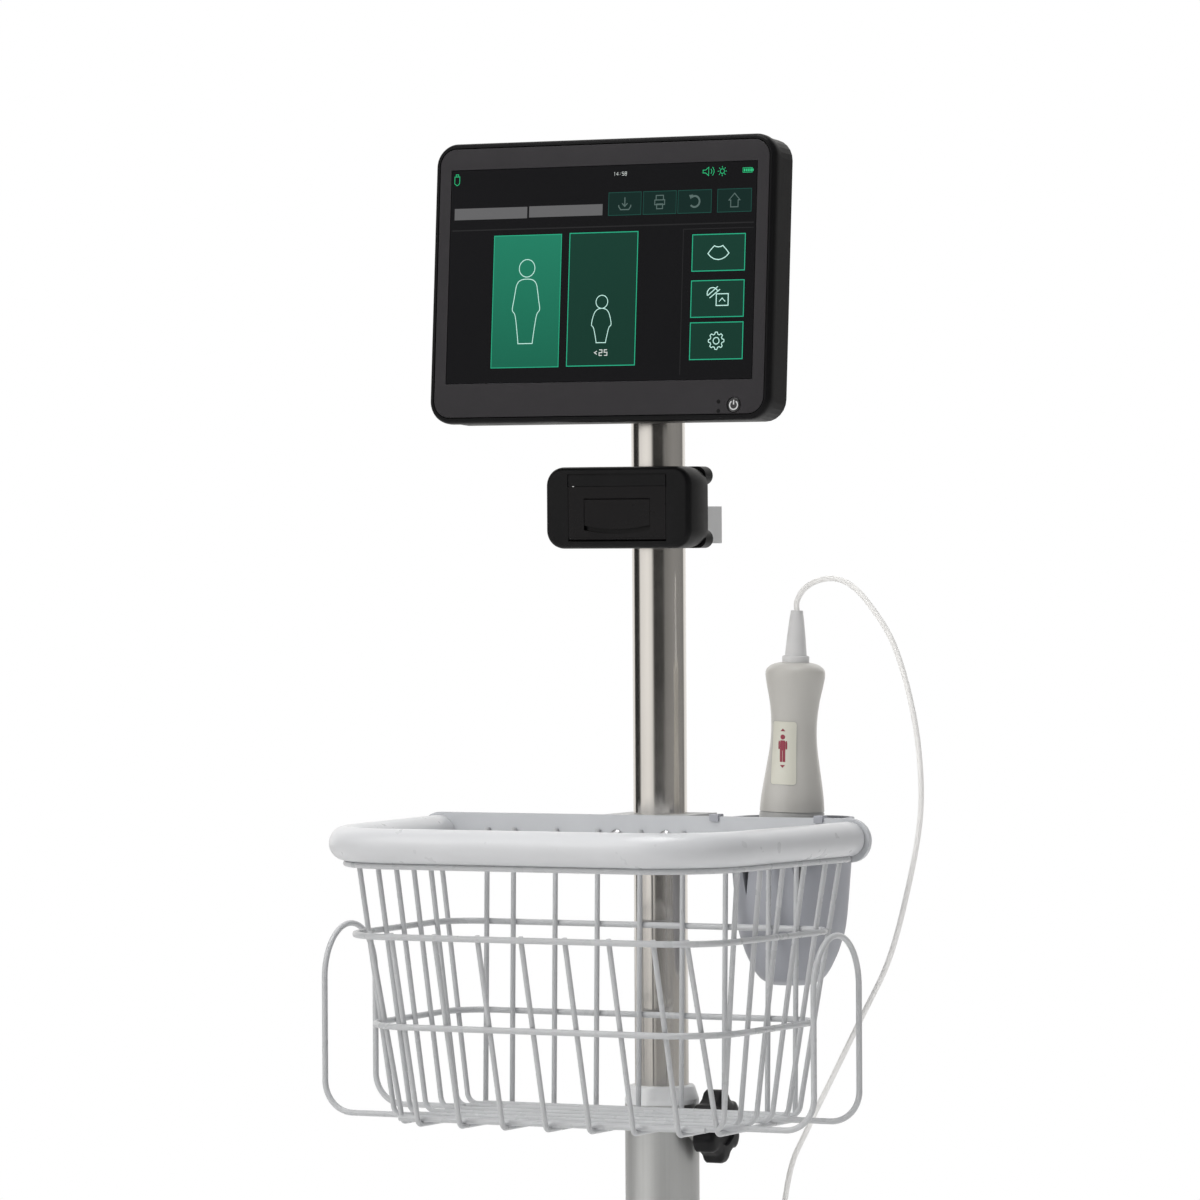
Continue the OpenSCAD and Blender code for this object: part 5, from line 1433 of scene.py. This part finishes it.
        mark.band(0, np.linspace(39.5, 46.0, 8), [1.95] * 7 + [1.6])
        for side in (-1, 1):
            mark.band(side * 1.02, np.linspace(32.2, 39.5, 8), [0.9] * 8)
            mark.band(side * 2.62, np.linspace(40.3, 45.7, 8), [0.5] + [0.55] * 5 + [0.5, 0.3])
        figure = self.on_waist("label_mark", np.vstack(mark.corners), mark.faces, self.mark_lift)
        self.finish(figure, Look.MARK, "label_cream")

    def build(self) -> None:
        """Shell, strain relief, label and the hidden scan unit."""
        self.shell()
        self.relief()
        self.label()
        self.dress_nodes(transducer=Look.BRASS)


@dataclass
class Holder(Assembly):
    """Deep cup that hangs behind the back plate, sizes in millimetres.

    The cup's rows are shares of its height, half width, half depth and depth. The notch is an outline of place across
    and height in the cup's own frame. The hook is one of place along Y and height.
    """

    x: float = 90.0
    y: float = 9.0
    low_z: float = 715.0
    width: float = 81.0
    depth: float = 66.0
    height: float = 108.0
    wall: float = 3.0
    lip: float = 0.3
    lip_drop: float = 0.5
    notch_x: float = 18.5
    notch_y: tuple[float, float] = (-50.0, -15.0)
    tab_x: float = 37.0
    tab_w: float = 6.0
    bar_z: float = 815.9
    shares: Table = (
        (0, 0.3, 0.36, 0.16), (0.03, 0.47, 0.58, 0.27), (0.075, 0.57, 0.7, 0.32), (0.139, 0.66, 0.79, 0.36),
        (0.23, 0.76, 0.86, 0.39), (0.41, 0.877, 0.92, 0.42), (1, 1, 1, 0.45))
    notch: Table = ((-8.5, 112), (-8.5, 108), (0, 58), (8.5, 108), (8.5, 112))
    hook: Table = (
        (-29.5, 821.4), (-29.5, 825.4), (-29.0, 825.9), (-21.6, 825.9), (-21.0, 825.3), (-21.0, 821.4),
        (-8.0, 818.0), (-8.0, 812.0), (-24.0, 810.4), (-24.0, 824.4), (-28.0, 824.4), (-28.0, 821.4))

    def cup(self) -> Piece:
        """Cup with a rolled lip and two notches in its front.

        Returns:
            The new object.
        """
        outer = spline(self.shares, 5) * (self.height, self.width / 2, self.depth / 2, self.depth)
        inner = outer[::-1] - (0, self.wall, self.wall, self.wall)
        inner[:, 0] += self.wall * (1 - outer[::-1, 0] / self.height)
        inset = np.array([0.0, self.lip, self.lip, self.lip])
        lip = [outer[-1] - inset, inner[0] + inset]
        outer[-1, 0] -= self.lip_drop
        inner[0, 0] -= self.lip_drop
        place = shift(self.x, self.y, self.low_z)
        cup = loop_stack("holder_cup", np.vstack([outer, lip, inner]).tolist(), place)
        for side in (-1, 1):
            notch = np.array(self.notch, float) + (self.notch_x * side, 0)
            cup = trimmed(cup, placed(prism("cutter", notch, *self.notch_y, 1), place))
        return cup

    def build(self) -> None:
        """Cup, its two hooks over the plate's top and the bar that joins them."""
        self.finish(self.cup(), Look.HOLDER, "holder_grey", "probe_holder")
        for side, name in ((-1, "left"), (1, "right")):
            x, half = self.x + self.tab_x * side, self.tab_w / 2
            self.finish(prism(f"hanger_{name}", np.array(self.hook), x - half, x + half), Look.HOLDER, "holder_grey")
        rows = [(-24.0, 38, 5.5, 1.2), (-21.8, 38, 5.5, 1.2), (-21.6, 37.6, 5.1, 1.0)]
        bar = loop_stack("hanger_bar", rows, shift(self.x, 0, self.bar_z) @ UPRIGHT, 4)
        self.finish(bar, Look.HOLDER, "holder_grey")


@dataclass
class Basket(Assembly):
    """Wire basket: a smooth rim tube, and the CAD wires with a dip coat, sizes in millimetres."""

    rim_z: float = 811.5
    rim_d: float = 22.0
    half_back: float = 148.4
    half_front: float = 134.0
    back: float = -28.0
    front: float = -212.0
    corner: float = 55.0

    def build(self) -> None:
        """Rim, a round tube along a path with rounded corners, and the carried wires."""
        right = [(self.half_back, self.back, self.rim_z), (self.half_front, self.front, self.rim_z)]
        corners = [(-x, y, z) for x, y, z in right] + right[::-1]
        rim = tube("rim_skin", filleted(corners, self.corner) * MM, self.rim_d * MM / 2, 64, (0, 0, 1))
        self.finish(rim, Look.RIM, "coated_wire", "rim_tube")
        self.dress_nodes(basket_rings=Look.WIRE, lengthwise_wires=Look.WIRE, crosswise_wires=Look.WIRE,
                         cable_hooks=Look.WIRE, back_plate=Look.PLATE, basket_clamp_front=Look.CLAMP,
                         basket_clamp_rear=Look.CLAMP, basket_screws=Look.SCREW)


@dataclass
class Printer(Assembly):
    """Panel printer: a rounded housing with a door, a latch and a paper slot, sizes in millimetres.

    Each cut gives its centre across and up, half width, half height and depth: the door's opening and the three lines
    round the strip above it. The guide is an outline of depth and height.
    """

    z: float = 1023.4
    front: float = -60.0
    width: float = 104.0
    height: float = 52.6
    depth: float = 29.0
    corner: float = 12.0
    cuts: Table = (
        (0, -3.9, 35.3, 17.8, 8.0), (0, 21.4, 35.6, 0.32, 0.9), (-35.3, 17.4, 0.32, 4.2, 0.9),
        (35.3, 17.4, 0.32, 4.2, 0.9))
    guide: Table = ((2.4, 14.2), (4.1, 14.2), (4.1, 13.5), (5.2, 13.5), (5.2, 17.5), (2.4, 17.5))
    guide_half: float = 33.0
    cut_start: float = -3.0
    cut_corner: float = 0.15

    def build(self) -> None:
        """Housing with finer corners, its door's opening and paper slot; the rest is carried from the CAD.

        Each row of the housing is a depth and how far the rounded outline shrinks there.
        """
        w, h, r = self.width / 2, self.height / 2, self.corner
        place = shift(0, self.front, self.z) @ UPRIGHT
        rows = [(2.5, w - 5.2, h - 3.8, r - 5.2), (self.depth, w - 5, h - 3.75, r - 5), (self.depth, w - 1, h - 1, r)]
        rows += [(depth, w - inset, h - inset, r - inset) for depth, inset in (
            (self.depth - 9, 0), (4.0, 0), (2.2, 0.3), (0.9, 1.1), (0.2, 2.2), (0.0, 3.4))]
        skin = loop_stack("printer_skin", rows, place)
        for x, z, half_w, half_h, deep in self.cuts:
            rows = [(depth, half_w, half_h, self.cut_corner) for depth in (self.cut_start, deep)]
            skin = trimmed(skin, loop_stack("cutter", rows, place @ shift(x, z, 0), 2))
        self.finish(skin, Look.PRINTER, "printer_black", "printer_housing")
        guide = np.array(self.guide) + (self.front, self.z)
        self.finish(prism("paper_guide", guide, -self.guide_half, self.guide_half), Look.PRINTER, "printer_black")
        self.dress_nodes(printer_back=Look.PRINTER, printer_door=Look.DOOR, door_latch=Look.DOOR,
                         print_head=Look.HEAD, platen_roller=Look.RUBBER, paper_roll=Look.PAPER,
                         printer_clamp_front=Look.CLAMP, printer_clamp_rear=Look.CLAMP, clamp_screws=Look.SCREW)


@dataclass
class Stand(Assembly):
    """Column, collar, knob, pole, base and castors, sizes in millimetres.

    The knob's sections give depth and outer radius. Its lobes fade in as the radius grows past the hub's.
    """

    body: str = "base"
    knob_x: float = 27.85
    knob_z: float = 622.0
    hub_r: float = 10.0
    fade: float = 9.0
    lobes: int = 6
    lobe_edge: float = 1.6
    lobe_mean: float = 0.91
    lobe_reach: float = 0.085
    sections: Table = (
        (0.0, 9.8), (0.3, 10.0), (3.6, 20.5), (4.6, 23.0), (5.6, 24.0), (15.4, 24.0), (17.2, 23.2), (18.4, 21.6),
        (19.0, 19.2), (19.0, 12.6), (18.2, 12.0), (17.0, 11.6), (16.8, 0.02))

    def knob(self) -> None:
        """Lobed knob: the radius waves with the angle, and each section scales that outline."""
        turn = np.linspace(0, 2 * math.pi, 192, endpoint=False)
        wave = self.lobe_reach * np.tanh(self.lobe_edge * np.cos(self.lobes * turn)) / math.tanh(self.lobe_edge)
        x, radius = np.array(self.sections).T[:, :, None]
        share = np.clip((radius - self.hub_r) / self.fade, 0, 1)
        r = radius * (1 + share * (self.lobe_mean + wave - 1))
        ring = np.stack([x + 0 * r, r * np.sin(turn), r * np.cos(turn)], -1)
        points = (ring + (self.knob_x, 0, self.knob_z)) * MM
        skin = mesh_piece("knob_skin", points, capped(len(x), len(turn)))
        self.finish(skin, Look.BLACK, "black_plastic", "clamp_knob", body="knob")

    def build(self) -> None:
        """Knob, and the carried nodes of the stand."""
        self.knob()
        self.dress_nodes(star_base=Look.CAST, outer_column=Look.COLUMN, column_collar=Look.COLLAR,
                         inner_pole=Look.POLE, pole_glide=Look.NYLON, pole_head=Look.BLACK, tilt_pin=Look.SCREW,
                         brake_pedal_1=Look.PEDAL, brake_pedal_2=Look.PEDAL)
        for k in range(1, 6):
            self.dress_nodes(**{f"castor_fork_{k}": Look.FORK, f"castor_wheel_{k}": Look.TREAD})
        LOG.info("stand dressed")


def main(model: dict[str, Any]) -> None:
    """Builds the scene: the camera and the cable first, then each sub-assembly.
    """
    logging.basicConfig(level=logging.INFO, format="%(name)s: %(message)s")
    bpy.context.scene.view_settings.view_transform = "Standard"
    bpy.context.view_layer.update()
    Viewpoint().build()
    Cable().build()
    Studio().build()
    for part in (Console(model), Probe(model), Holder(model), Basket(model), Printer(model), Stand(model)):
        part.build()


if __name__ == "__main__":
    main(frame)
